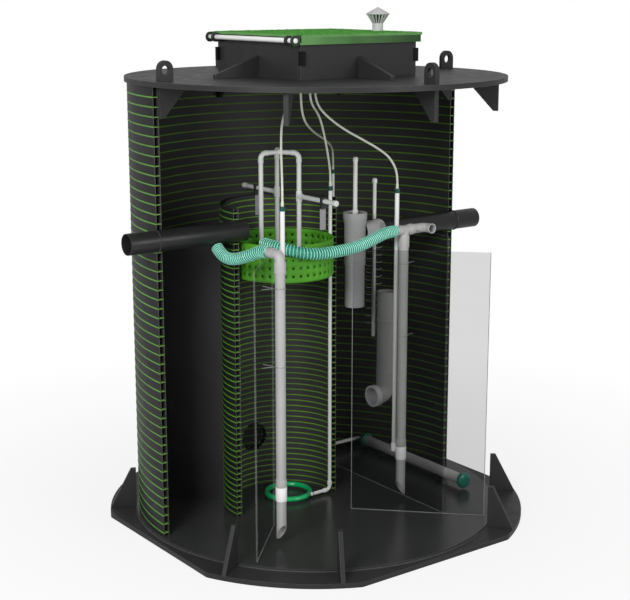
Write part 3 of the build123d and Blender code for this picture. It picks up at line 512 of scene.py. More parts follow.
def dense(profile: Array, step: float, closed: bool = True) -> Array:
    """Divides the long sides of an outline, so that it follows a bend.

    Args:
        profile: (distance, radius) corners.
        step: the longest side along the distance.
        closed: whether the last corner joins the first.

    Returns:
        The corners with more points between them.
    """
    ends = np.roll(profile, -1, axis=0) if closed else np.concatenate([profile[1:], profile[-1:]])
    counts = np.maximum(np.ceil(np.abs(ends[:, 0] - profile[:, 0]) / step).astype(int), 1)
    owner = np.repeat(np.arange(len(profile)), counts)
    share = (np.arange(len(owner)) - np.repeat(np.cumsum(counts) - counts, counts)) / counts[owner]
    return profile[owner] + share[:, None] * (ends - profile)[owner]


def distances(line: Array) -> Array:
    """The distance of each point of a path from its start, along the path."""
    return np.concatenate([[0.0], np.cumsum(np.linalg.norm(np.diff(line, axis=0), axis=1))])


def unit(vectors: Array) -> Array:
    """Rows of vectors, each brought to length 1."""
    return vectors / np.linalg.norm(vectors, axis=1)[:, None]


def read_off(at: Array, known: Array, values: Array) -> Array:
    """Rows of values read at places between the known ones, column by column."""
    return np.stack([np.interp(at, known, values[:, k]) for k in range(values.shape[1])], axis=1)


def carried(
    profile: Points, path: Points, sides: int = 40, closed: bool = True, up: Array = Y_AXIS, mark: int = 0,
) -> Surface:
    """Carries a (distance, radius) profile round a path.

    A point is path(distance) + radius (cos a side + sin a lift), where side is up x direction and lift is
    direction x side.

    Args:
        profile: distances along the path and radii about it.
        path: points of the path.
        sides: points round it.
        closed: whether the profile closes on itself, as a pipe's wall does, or else ends at the path.
        up: a direction across the path, or one for each point of the path.
        mark: finish number.

    Returns:
        The surface, with its outside where the profile runs along the path on the outside.
    """
    outline = np.asarray(profile, float)
    line = np.asarray(path, float)
    at = distances(line)
    run = np.gradient(line, at, axis=0)
    lifts = np.broadcast_to(up, line.shape)
    centre, direction, upward = (read_off(outline[:, 0], at, values) for values in (line, run, lifts))
    direction = unit(direction)
    side = unit(np.cross(upward, direction))
    lift = np.cross(direction, side)
    angle = np.linspace(0, 2 * math.pi, sides, endpoint=False)[None, :, None]
    spoke = np.cos(angle) * side[:, None] + np.sin(angle) * lift[:, None]
    points = centre[:, None] + outline[:, 1][:, None, None] * spoke
    return Surface(points.reshape(-1, 3), [lattice(len(outline), sides, closed, True)], [mark])


def bent(
    start: Place, corner: Place, end: Place, radius: float, steps: int = 14,
) -> Array:
    """A path of two straight runs and the arc between them, for a rigid pipe.

    The arc's points are centre - radius (cos a out + sin a turn), as the angle runs over the turn.

    Args:
        start: where the path starts.
        corner: where the two runs would meet.
        end: where the path ends.
        radius: the arc's radius.
        steps: points on the arc.

    Returns:
        The points of the path.
    """
    a, c, b = (np.asarray(p, float) for p in (start, corner, end))
    come = (c - a) / np.linalg.norm(c - a)
    leave = (b - c) / np.linalg.norm(b - c)
    turn = math.acos(float(np.clip(come @ leave, -1, 1)))
    inward = leave - (come @ leave) * come
    inward = inward / np.linalg.norm(inward)
    first = c - come * radius * math.tan(turn / 2)
    angle = np.linspace(0, turn, steps)[:, None]
    arc = first + radius * (np.sin(angle) * come + (1 - np.cos(angle)) * inward)
    return np.concatenate([a[None], arc, b[None]])


def pipe_wall(
    length: float, outer: float, wall: float, lips: Sequence[Place] = (), soft: float = 0.0012,
) -> Array:
    """The closed (distance, radius) outline of a pipe's wall, with raised lips on its outside.

    Args:
        length: the pipe's length.
        outer: its outer radius.
        wall: its wall thickness.
        lips: (from, to, radius) of each raised band, in order along the pipe.
        soft: how far its edges are rounded.

    Returns:
        The outline, outside first.
    """
    rows = [(0.0, outer - wall)]
    at = 0.0
    for low, high, radius in lips:
        if low > at:
            rows += [(at, outer), (low, outer)]
        rows += [(low, radius), (high, radius)]
        at = high
    if at < length:
        rows += [(at, outer), (length, outer)]
    rows += [(length, outer - wall)]
    return softened(rows, soft)


def plan_way(degrees: float) -> Array:
    """The direction at an angle in plan, (cos a, sin a)."""
    return np.array((math.cos(math.radians(degrees)), math.sin(math.radians(degrees))))


def straight(start: Place, end: Place) -> Array:
    """A straight path between two points."""
    return np.asarray((start, end), float)


def turned_solid(
    outline: Points, place: Place, soft: float = 0.0015, sides: int = 40, mark: int = 0,
) -> Surface:
    """Turns a (height, radius) outline about an upright axis, from the axis and back to it.

    Args:
        outline: heights above the place and radii, the first and last with radius 0.
        place: the foot of the axis.
        soft: how far its edges are rounded.
        sides: points round it.
        mark: finish number.

    Returns:
        The closed solid.
    """
    shape = softened(outline, soft, closed=False)
    top = shape[:, 0].max()
    path = straight(np.asarray(place, float), np.asarray(place, float) + top * Z_AXIS)
    return carried(shape, path, sides, closed=False, mark=mark)


def bar(
    start: Place, end: Place, radius: float, soft: float = 0.0015, sides: int = 28,
    up: Array = Z_AXIS, mark: int = 0,
) -> Surface:
    """A round bar between two points, with its ends rounded off.

    Args:
        start: one end.
        end: the other end.
        radius: the bar's radius.
        soft: how far its edges are rounded.
        sides: points round it.
        up: a direction across the bar.
        mark: finish number.

    Returns:
        The closed bar.
    """
    path = straight(start, end)
    length = float(np.linalg.norm(path[1] - path[0]))
    outline = softened([(0, 0), (0, radius), (length, radius), (length, 0)], soft, closed=False)
    return carried(outline, path, sides, closed=False, up=up, mark=mark)


def rod_along(path: Points, radius: float, up: Array = Z_AXIS, sides: int = 16, mark: int = 0) -> Surface:
    """A round rod along a path of many points, closed at both ends.

    Args:
        path: its points.
        radius: the rod's radius.
        up: a direction across the path.
        sides: points round it.
        mark: finish number.

    Returns:
        The closed rod.
    """
    line = np.asarray(path, float)
    at = distances(line)
    outline = np.concatenate([[(0, 0)], np.stack([at, np.full(len(at), radius)], axis=1), [(at[-1], 0)]])
    return carried(outline, line, sides, closed=False, up=up, mark=mark)


def hoop(
    centre: Place, radius: float, thickness: float, normal: Array = Z_AXIS, steps: int = 72,
    sides: int = 16, mark: int = 0,
) -> Surface:
    """A ring of round section: centre + (R + r cos b)(cos a u + sin a v) + r sin b normal.

    Args:
        centre: the ring's centre.
        radius: R, to the middle of its section.
        thickness: r, the section's radius.
        normal: the ring's axis.
        steps: points along the ring.
        sides: points round its section.
        mark: finish number.

    Returns:
        The closed ring.
    """
    u = np.cross(normal, Y_AXIS if abs(normal[1]) < 0.9 else X_AXIS)
    u = u / np.linalg.norm(u)
    v = np.cross(normal, u)
    a = np.linspace(0, 2 * math.pi, steps, endpoint=False)[:, None, None]
    b = np.linspace(0, 2 * math.pi, sides, endpoint=False)[None, :, None]
    out = np.cos(a) * u + np.sin(a) * v
    points = np.asarray(centre, float) + (radius + thickness * np.cos(-b)) * out + thickness * np.sin(-b) * normal
    return Surface(points.reshape(-1, 3), [lattice(steps, sides, True, True)], [mark])


def round_outline(
    centre: Place, radius: float, steps: int = 48, start: float = 0.0, turn: float = 360.0,
) -> Array:
    """Points of a circle, or of an arc of it, in a plane: centre + radius (cos a, sin a).

    Args:
        centre: the centre in the plane.
        radius: the radius.
        steps: how many points.
        start: the first point's angle in degrees.
        turn: the angle that the points cover.

    Returns:
        The points, without the last one where the circle is whole.
    """
    angle = np.radians(start + np.linspace(0, turn, steps, endpoint=abs(turn) < 360))
    return np.stack([centre[0] + radius * np.cos(angle), centre[1] + radius * np.sin(angle)], axis=1)


def plate(
    outline: Points, low: float, high: float, holes: Sequence[Points] = (), mark: int = 0, rim_mark: int = 0,
) -> Surface:
    """A flat plate with its outline and holes cut square, in its own X and Y, from one height to another.

    Args:
        outline: its corners, counter-clockwise.
        low: the underside's height.
        high: the top's height.
        holes: corners of each hole, counter-clockwise.
        mark: finish number of the two faces.
        rim_mark: finish number of the cut rims.

    Returns:
        The closed plate.
    """
    loops = [np.asarray(outline, float)] + [np.asarray(hole, float)[::-1] for hole in holes]
    flat = np.concatenate(loops)
    cover = np.array(tessellate_polygon([[Vector((*p, 0.0)) for p in loop] for loop in loops]))
    a, b, c = (flat[cover[:, k]] for k in range(3))
    area = (b[:, 0] - a[:, 0]) * (c[:, 1] - a[:, 1]) - (c[:, 0] - a[:, 0]) * (b[:, 1] - a[:, 1])
    cover = np.where(area[:, None] < 0, cover[:, ::-1], cover)
    count = len(flat)
    starts = np.cumsum([0] + [len(loop) for loop in loops[:-1]])
    first = np.concatenate([start + np.arange(len(loop)) for loop, start in zip(loops, starts)])
    second = np.concatenate([start + (np.arange(len(loop)) + 1) % len(loop) for loop, start in zip(loops, starts)])
    sides = np.stack([first, second, second + count, first + count], axis=1)
    under = np.concatenate([flat, np.full((count, 1), low)], axis=1)
    over = np.concatenate([flat, np.full((count, 1), high)], axis=1)
    return Surface(np.concatenate([under, over]), [cover[:, ::-1], cover + count, sides], [mark, mark, rim_mark])


def standing(outline: Points, thickness: float, degrees: float, holes: Sequence[Points] = ()) -> Surface:
    """A plate outlined by (radius, height) points, standing in a plane through the tank's axis.

    Args:
        outline: its corners, counter-clockwise as seen from -Y.
        thickness: the plate's thickness.
        degrees: the plane's angle about the axis.
        holes: corners of its holes.

    Returns:
        The closed plate.
    """
    flat = plate(outline, -thickness / 2, thickness / 2, holes)
    return flat.upright().turned(degrees)


def box_plate(x: Place, y: Place, z: Place, mark: int = 0) -> Surface:
    """A block between two values along each axis."""
    return plate([(x[0], y[0]), (x[1], y[0]), (x[1], y[1]), (x[0], y[1])], z[0], z[1], mark=mark, rim_mark=mark)


def scene_object(name: str, data: bpy.types.ID) -> bpy.types.Object:
    """Makes an object and links it to the scene.

    Args:
        name: the object's name.
        data: its mesh, lamp or camera.

    Returns:
        The new object.
    """
    made = bpy.data.objects.new(name, data)
    bpy.context.scene.collection.objects.link(made)
    return made


def make_piece(
    name: str,
    surface: Surface,
    finishes: Sequence[Finish],
    slot: Slot,
    nodes: Sequence[str] = (),
    body: Body = Body.TANK,
    bevel: float = 0.0,
    merge: bool = True,
) -> bpy.types.Object:
    """Makes a mesh piece of the part, dresses it and lets it ride on its body.

    Args:
        name: the piece's name.
        surface: its points and faces.
        finishes: its finishes, by the faces' finish numbers.
        slot: the record's material slot that it belongs to; not used.
        nodes: the solids that it stands for.
        body: the body that it moves with.
        bevel: how far a Bevel modifier rounds its edges, or 0 for none.
        merge: whether doubled points are joined and the faces turned outwards.

    Returns:
        The new object.
    """
    mesh = bpy.data.meshes.new(name)
    mesh.from_pydata(surface.points, [], [face for block in surface.faces for face in block.tolist()])
    marks = np.repeat(surface.marks, [len(block) for block in surface.faces]).astype(np.int32)
    mesh.polygons.foreach_set("material_index", marks)
    for finish in finishes:
        mesh.materials.append(finish.material())
    if merge:
        work = bmesh.new()
        work.from_mesh(mesh)
        bmesh.ops.remove_doubles(work, verts=work.verts, dist=MERGE_WITHIN)
        bmesh.ops.recalc_face_normals(work, faces=work.faces)
        work.to_mesh(mesh)
        work.free()
    mesh.shade_smooth()
    piece = scene_object(name, mesh)
    if bevel:
        rounding = piece.modifiers.new("rounded_edges", "BEVEL")
        rounding.width = bevel
        rounding.segments = 2
        rounding.limit_method = "ANGLE"
        rounding.angle_limit = SMOOTH_UNDER
        rounding.harden_normals = True
    else:
        mesh.set_sharp_from_angle(angle=SMOOTH_UNDER)
    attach(piece, body.value)
    if nodes:
        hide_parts(*nodes)
    LOG.info("%s: %d faces", name, len(mesh.polygons))
    return piece


def black_piece(name: str, surface: Surface, node: str, bevel: float) -> bpy.types.Object:
    """Makes a piece of black plate for one node, with its edges rounded by the bevel."""
    return make_piece(name, surface, [SATIN_BLACK], Slot.BLACK_PLATE, [node], bevel=bevel)


# Camera, floor and light


@dataclass
class Studio:
    """The camera at the photograph's place, a pale floor and soft lamps."""

    eye: tuple[float, float, float] = (-4.380, -5.8786, 2.8581)
    heading: float = 53.35
    pitch: float = 12.85
    lens: float = 77.77
    floor_half: float = 40.0

    def camera(self) -> None:
        """Makes the camera, level across and pitched down."""
        data = bpy.data.cameras.new("camera")
        data.sensor_fit = "HORIZONTAL"
        data.sensor_width = 36.0
        data.lens = self.lens
        data.clip_end = 500.0
        camera = scene_object("camera", data)
        camera.location = self.eye
        camera.rotation_euler = (math.radians(90 - self.pitch), 0.0, math.radians(self.heading - 90))
        bpy.context.scene.camera = camera

    def floor(self) -> None:
        """Makes the floor, pale to the eye near the part and white further off, with the part's soft shadow."""
        half = self.floor_half
        mesh = bpy.data.meshes.new("floor")
        mesh.from_pydata([(-half, -half, 0), (half, -half, 0), (half, half, 0), (-half, half, 0)], [], [(0, 1, 2, 3)])
        material = bpy.data.materials.new("floor")
        material.use_nodes = True
        graph = Graph(material.node_tree)
        material.node_tree.nodes.remove(material.node_tree.nodes["Principled BSDF"])
        output = material.node_tree.nodes["Material Output"]
        place = graph.place()
        away = graph.add("ShaderNodeVectorMath", operation="LENGTH")
        graph.feed(away.inputs[0], place)
        white = graph.spread(away.outputs["Value"], 1.2, 3.5, 0.82, 1.0)
        share = graph.math("MULTIPLY", graph.seen(), white)
        matt = graph.add("ShaderNodeBsdfDiffuse", Color=(0.80, 0.80, 0.80, 1.0))
        glow = graph.add("ShaderNodeEmission", Color=(1.0, 1.0, 1.0, 1.0), Strength=1.0)
        mix = graph.add("ShaderNodeMixShader")
        for socket, value in zip(mix.inputs, (share, matt.outputs[0], glow.outputs[0])):
            graph.feed(socket, value)
        graph.feed(output.inputs["Surface"], mix.outputs[0])
        mesh.materials.append(material)
        scene_object("floor", mesh)

    def world(self, strength: float = 0.47) -> None:
        """Makes the surroundings: an even pale light, seen as white by the camera."""
        world = bpy.data.worlds.new("surroundings")
        world.use_nodes = True
        bpy.context.scene.world = world
        graph = Graph(world.node_tree)
        background = world.node_tree.nodes["Background"]
        background.inputs["Color"].default_value = (1.0, 1.0, 1.0, 1.0)
        graph.feed(background.inputs["Strength"], graph.spread(graph.seen(), 0.0, 1.0, strength, 1.0))

    def lamp(self, name: str, place: Place, aim: Place, size: float, power: float) -> None:
        """Makes one square lamp that faces a point.

        Args:
            name: the lamp's name.
            place: where it hangs.
            aim: the point that it faces.
            size: its side.
            power: its power in watts.
        """
        data = bpy.data.lights.new(name, "AREA")
        data.size = size
        data.energy = power
        lamp = scene_object(name, data)
        lamp.location = place
        lamp.rotation_euler = (Vector(aim) - Vector(place)).to_track_quat("-Z", "Y").to_euler()

    def build(self) -> None:
        """Makes the camera, the floor, the surroundings and the lamps."""
        bpy.context.scene.view_settings.view_transform = "Standard"
        self.camera()
        self.floor()
        self.world()
        self.lamp("key_lamp", (-6.0, -3.5, 4.5), (0.0, 0.0, 1.3), 2.5, 290.0)
        self.lamp("fill_lamp", (1.5, -7.0, 3.5), (0.0, 0.0, 1.2), 3.0, 120.0)


# Hoses


@dataclass
class Hoses:
    """The four thin air hoses under the roof and the two wide ribbed sludge hoses."""

    air_radius: float = 0.006
    sludge_radius: float = 0.032
    coil_radius: float = 0.0022
    close_pitch: float = 0.0105
    open_pitch: float = 0.0165
    step: float = 0.0006
    points_a_turn: int = 26
    dip: float = 0.0032
    dip_swing: float = 0.0016
    film: float = 0.0008

    def route(self, name: str, points: Points) -> bpy.types.Object:
        """Makes a hose's smooth line, a NURBS spline with the route's points as its control points.

        Args:
            name: the line's name.
            points: the route's points.

        Returns:
            A curve object of one open spline.
        """
        curve = bpy.data.curves.new(name, "CURVE")
        curve.dimensions = "3D"
        curve.resolution_u = 24
        spline = curve.splines.new("NURBS")
        spline.points.add(len(points) - 1)
        places = np.concatenate([np.asarray(points, float), np.ones((len(points), 1))], axis=1)
        spline.points.foreach_set("co", places.ravel())
        spline.order_u = 3
        spline.use_endpoint_u = True
        return bpy.data.objects.new(name, curve)

    def line(self, points: Points) -> Array:
        """The points along a route's NURBS spline, as Blender gives them for a curve with no thickness."""
        bare = self.route("bare_route", points)
        mesh = bpy.data.meshes.new_from_object(bare)
        flat = np.zeros(len(mesh.vertices) * 3)
        mesh.vertices.foreach_get("co", flat)
        curve = bare.data
        bpy.data.objects.remove(bare)
        bpy.data.curves.remove(curve)
        bpy.data.meshes.remove(mesh)
        return flat.reshape(-1, 3)

    def air_hose(self, number: int, points: Points, length: float) -> None:
        """Makes one air hose from its gland under the roof to the coupler on its air pipe.

        Args:
            number: which of the air hoses it is.
            points: its route.
            length: its real length; not used.
        """
        name = f"air_tubing_{number}"
        hose = self.route(name, points)
        bpy.context.scene.collection.objects.link(hose)
        hose.data.bevel_depth = self.air_radius
        hose.data.bevel_resolution = 5
        hose.data.use_fill_caps = True
        hose.data.materials.append(AIR_TUBING.material())
        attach(hose, Body.TANK.value)
        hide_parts(f"air_hose_{number}")
        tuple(points[0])
        LOG.info("%s: %d route points", name, len(points))

    def sludge_hose(
        self, number: int, points: Points, length: float, opened: Pair, far_end: str,
    ) -> None:
        """Makes one sludge hose: a thin film inside a stiff coil.

        The film's radius dips between the coil's turns. The coil is a helix, line(s) + R (cos a side + sin a lift),
        whose angle a grows by a whole turn for each pitch, and the pitch opens up along the middle stretch.

        Args:
            number: which of the sludge hoses it is.
            points: its route.
            length: its real length; not used.
            opened: the share of the length where the coil's turns open up, and the width of that stretch.
            far_end: what is on its far end; not used.
        """
        line = self.line(points)
        at = distances(line)
        along = np.arange(0.0, at[-1], self.step)
        open_share = np.exp(-(((along / at[-1] - opened[0]) / opened[1]) ** 2))
        pitch = self.close_pitch + (self.open_pitch - self.close_pitch) * open_share
        angle = np.cumsum(2 * math.pi * self.step / pitch)
        centre = read_off(along, at, line)
        direction = unit(np.gradient(centre, axis=0))
        side = unit(np.cross(Z_AXIS, direction))
        lift = np.cross(direction, side)
        count = int(angle[-1] / (2 * math.pi) * self.points_a_turn)
        even = np.linspace(0, angle[-1], count)
        order = np.arange(len(angle))
        pick = np.interp(even, angle, order)
        frames = (centre, side, lift, direction)
        where, across, over, forward = (read_off(pick, order, values) for values in frames)
        reach = self.sludge_radius - self.coil_radius
        helix = where + reach * (np.cos(even)[:, None] * across + np.sin(even)[:, None] * over)
        coil_at = distances(helix)
        coil_profile = np.stack([coil_at, np.full(len(coil_at), self.coil_radius)], axis=1)
        coil_profile = np.concatenate([[(0, 0)], coil_profile, [(coil_at[-1], 0)]])
        coil = carried(coil_profile, helix, 6, closed=False, up=forward, mark=1)
        rows = along[::4]
        dip = self.dip + self.dip_swing * np.cos(np.interp(rows, along, angle))
        film_out = np.stack([rows, self.sludge_radius - dip], axis=1)
        film_in = film_out[::-1] - (0.0, self.film)
        film = carried(np.concatenate([film_out, film_in]), line, 28, up=Z_AXIS)
        name = f"ribbed_hose_{number}"
        hose = make_piece(
            name, joined([film, coil]), [HOSE_FILM, HOSE_COIL], Slot.SLUDGE_HOSE, [f"sludge_hose_{number}"],
            merge=False,
        )

    def build(self) -> None:
        """Makes all six hoses."""
        gland = 2.373
        lead = 1.880
        coupler = 1.836
        left, far, ring, right = (-0.529, -0.432), (0.535, 0.548), (0.095, -0.004), (0.327, -0.295)
        first = [(-0.335, -0.215, gland), (-0.335, -0.215, 2.338), (-0.362, -0.234, 2.272), (-0.423, -0.280, 2.205)]
        first += [
            (-0.461, -0.327, 2.120), (-0.491, -0.372, 2.030), (-0.518, -0.415, 1.940), (*left, lead),
            (*left, coupler),
        ]
        second = [(-0.337, -0.325, gland), (-0.337, -0.325, 2.330), (-0.314, -0.302, 2.262), (-0.252, -0.240, 2.205)]
        second += [(-0.167, -0.155, 2.165), (-0.068, -0.056, 2.129), (0.030, 0.043, 2.098), (0.129, 0.142, 2.070)]
        second += [(0.228, 0.241, 2.043), (0.327, 0.340, 2.013), (0.412, 0.425, 1.984), (0.480, 0.493, 1.957)]
        second += [(0.520, 0.533, 1.925), (*far, lead), (*far, coupler)]
        third = [(-0.287, -0.335, gland), (-0.287, -0.335, 2.336), (-0.262, -0.313, 2.300), (-0.208, -0.266, 2.266)]
        third += [(-0.153, -0.219, 2.237), (-0.108, -0.180, 2.204), (-0.060, -0.138, 2.152), (-0.015, -0.099, 2.090)]
        third += [(0.027, -0.063, 2.022), (0.067, -0.028, 1.950), (*ring, lead), (*ring, coupler)]
        fourth = [(-0.237, -0.310, gland), (-0.237, -0.310, 2.328), (-0.205, -0.309, 2.266), (-0.132, -0.307, 2.207)]
        fourth += [(-0.032, -0.304, 2.146), (0.083, -0.301, 2.091), (0.183, -0.298, 2.041), (0.262, -0.296, 1.992)]
        fourth += [(0.308, -0.295, 1.935), (*right, lead), (*right, coupler)]
        hoses = ((first, 0.628), (second, 1.442), (third, 0.776), (fourth, 0.830))
        for number, (points, length) in enumerate(hoses, 1):
            self.air_hose(number, points, length)
        inlet = [(-0.570, -0.370, 1.576), (-0.570, -0.320, 1.576), (-0.581, -0.265, 1.555), (-0.605, -0.195, 1.525)]
        inlet += [(-0.637, -0.122, 1.506), (-0.657, -0.0626, 1.5269), (-0.657, -0.0225, 1.563)]
        basket = [(0.281, -0.340, 1.590), (0.215, -0.340, 1.590), (0.140, -0.336, 1.563), (0.040, -0.326, 1.530)]
        basket += [(-0.085, -0.308, 1.514), (-0.205, -0.290, 1.512), (-0.285, -0.268, 1.522), (-0.345, -0.215, 1.540)]
        basket += [(-0.378, -0.140, 1.552), (-0.394, -0.062, 1.556)]
        self.sludge_hose(1, inlet, 0.388, (0.1, 0.35), "object")
        self.sludge_hose(2, basket, 0.824, (0.72, 0.3), "bare")


# Tank


@dataclass
class HollowWall:
    """A round wall of hollow sheet: two black skins joined by green ribs, which stand proud as beads.

    It is cut along the plane y = 0, so each skin runs from the angle where it leaves that plane to the angle where
    it meets it again, asin((notch - centre y) / radius), with half-round notches for the two main pipes.
    """

    name: str
    nodes: tuple[str, ...]
    centre: Pair
    outer: float
    wall: float
    low: float
    high: float
    first_rib: float
    pitch: float
    skin: float = 0.004
    rib: float = 0.0045
    bead: float = 0.0036
    proud: float = 0.0016
    east_notch: Optional[Pair] = None
    west_notch: Optional[Pair] = None
    hole: Optional[Pair] = None
    columns: int = 90

    def notch(self, z: Array, opening: Optional[Pair]) -> Array:
        """Half the width of a round opening at each height, sqrt(r^2 - (z - height)^2), and 0 off it."""
        if opening is None:
            return np.zeros_like(z)
        return np.sqrt(np.maximum(opening[1] ** 2 - (z - opening[0]) ** 2, 0.0))

    def limits(self, z: Array, radius: float | Array) -> list[tuple[Array, Array]]:
        """The stretches of the wall at each height.

        Args:
            z: heights.
            radius: the radius of the skin, or of each point of a rib's section.

        Returns:
            The start and end angles of each stretch: one stretch, or two beside a round hole.
        """
        start = np.arcsin((self.notch(z, self.east_notch) - self.centre[1]) / radius)
        end = math.pi - np.arcsin((self.notch(z, self.west_notch) - self.centre[1]) / radius)
        if self.hole is None:
            return [(start, end)]
        half = np.arcsin(self.notch(z, self.hole) / radius)
        return [(start, math.pi / 2 - half), (math.pi / 2 + half, end)]

    def heights(self) -> Array:
        """Heights of the skins' rows, close together beside the openings."""
        rows = [np.linspace(self.low, self.high, 40)]
        turn = np.cos(np.linspace(0, math.pi, 25))
        rows += [
            height + radius * turn
            for height, radius in filter(None, (self.east_notch, self.west_notch, self.hole))
        ]
        merged = np.unique(np.round(np.concatenate(rows), 6))
        return merged[(merged >= self.low) & (merged <= self.high)]

    def stretch_columns(self) -> int:
        """Columns of points on one stretch, half as many where a round hole makes two of them."""
        return self.columns if self.hole is None else self.columns // 2

    def arc(self, radius: float, z: Array, start: Array, end: Array) -> Array:
        """A grid of points on a cylinder, heights by angles.

        Args:
            radius: the cylinder's radius.
            z: heights of the rows.
            start: each row's first angle.
            end: each row's last angle.

        Returns:
            rows x columns x 3 points.
        """
        share = np.linspace(0, 1, self.stretch_columns())[None, :]
        angle = start[:, None] + (end - start)[:, None] * share
        x = self.centre[0] + radius * np.cos(angle)
        y = self.centre[1] + radius * np.sin(angle)
        return np.stack([x, y, np.broadcast_to(z[:, None], angle.shape)], axis=-1)

    def skins(self) -> Surface:
        """The inner and outer skin, each a closed thin sheet."""
        z = self.heights()
        sheets = []
        # The inner skin takes the lighter inside copy of the black, painted light for the shaded inside.
        for radius, mark in ((self.outer, 0), (self.outer - self.wall + self.skin, 2)):
            outside = self.limits(z, radius)
            inside = self.limits(z, radius - self.skin)
            for (a0, a1), (b0, b1) in zip(outside, inside):
                front = self.arc(radius, z, a0, a1)
                back = self.arc(radius - self.skin, z, b0, b1)
                sheets.append(slab(front, back, mark, 1))
        return joined(sheets)

    def ribs(self) -> Surface:
        """The ribs: at each height a section with a half-round bead on both skins, carried round the wall."""
        bulge = np.radians(np.linspace(90, -90, 7))
        outer_bead = np.stack([self.outer + self.proud * np.cos(bulge), self.bead * np.sin(bulge)], axis=1)
        inner = self.outer - self.wall
        inner_bead = np.stack([inner - self.proud * np.cos(bulge), -self.bead * np.sin(bulge)], axis=1)
        flat = self.rib / 2
        neck_out = [(self.outer - self.skin, -flat), (inner + self.skin, -flat)]
        neck_in = [(inner + self.skin, flat), (self.outer - self.skin, flat)]
        section = np.concatenate([outer_bead, neck_out, inner_bead, neck_in])
        z = np.arange(self.first_rib, self.high - self.pitch / 4, self.pitch)
        columns = self.stretch_columns()
        share = np.linspace(0, 1, columns)
        surfaces = []
        at = z[:, None] + 0 * section[:, 0][None, :]
        for start, end in self.limits(at, section[:, 0][None, :]):
            angle = start[:, None, :] + (end - start)[:, None, :] * share[None, :, None]
            radius = section[:, 0][None, None, :]
            x = self.centre[0] + radius * np.cos(angle)
            y = self.centre[1] + radius * np.sin(angle)
            height = np.broadcast_to(z[:, None, None] + section[:, 1][None, None, :], angle.shape)
            points = np.stack([x, y, height], axis=-1)
            count = columns * len(section)
            offsets = (np.arange(len(z)) * count)[:, None, None]
            sides = (lattice(columns, len(section), False, True)[None] + offsets).reshape(-1, 4)
            first = (np.arange(len(section))[::-1][None] + offsets[:, :, 0]).reshape(len(z), -1)
            last = first[:, ::-1] + count - len(section)
            flat_points = points.reshape(-1, 3)
            reach = np.hypot(flat_points[:, 0] - self.centre[0], flat_points[:, 1] - self.centre[1])
            # Faces on the inner side take the inside copy of the green, painted shade for the shaded inside.
            inward = reach[sides].mean(axis=1) < self.outer - self.wall / 2
            surfaces.append(Surface(flat_points, [sides[~inward], sides[inward], first, last], [0, 2, 1, 1]))
        return joined(surfaces)

    def build(self) -> None:
        """Makes the skins and the ribs."""
        make_piece(
            f"{self.name}_skins", self.skins(), [WALL_BLACK, SKIN_CUT, WALL_INSIDE_PAINTED_LIGHT], Slot.WALL_BLACK, self.nodes,
            merge=False,
        )
        make_piece(f"{self.name}_ribs", self.ribs(), [RIB_GREEN, RIB_CUT, RIB_INSIDE_PAINTED_SHADE], Slot.WALL_BLACK, merge=False)


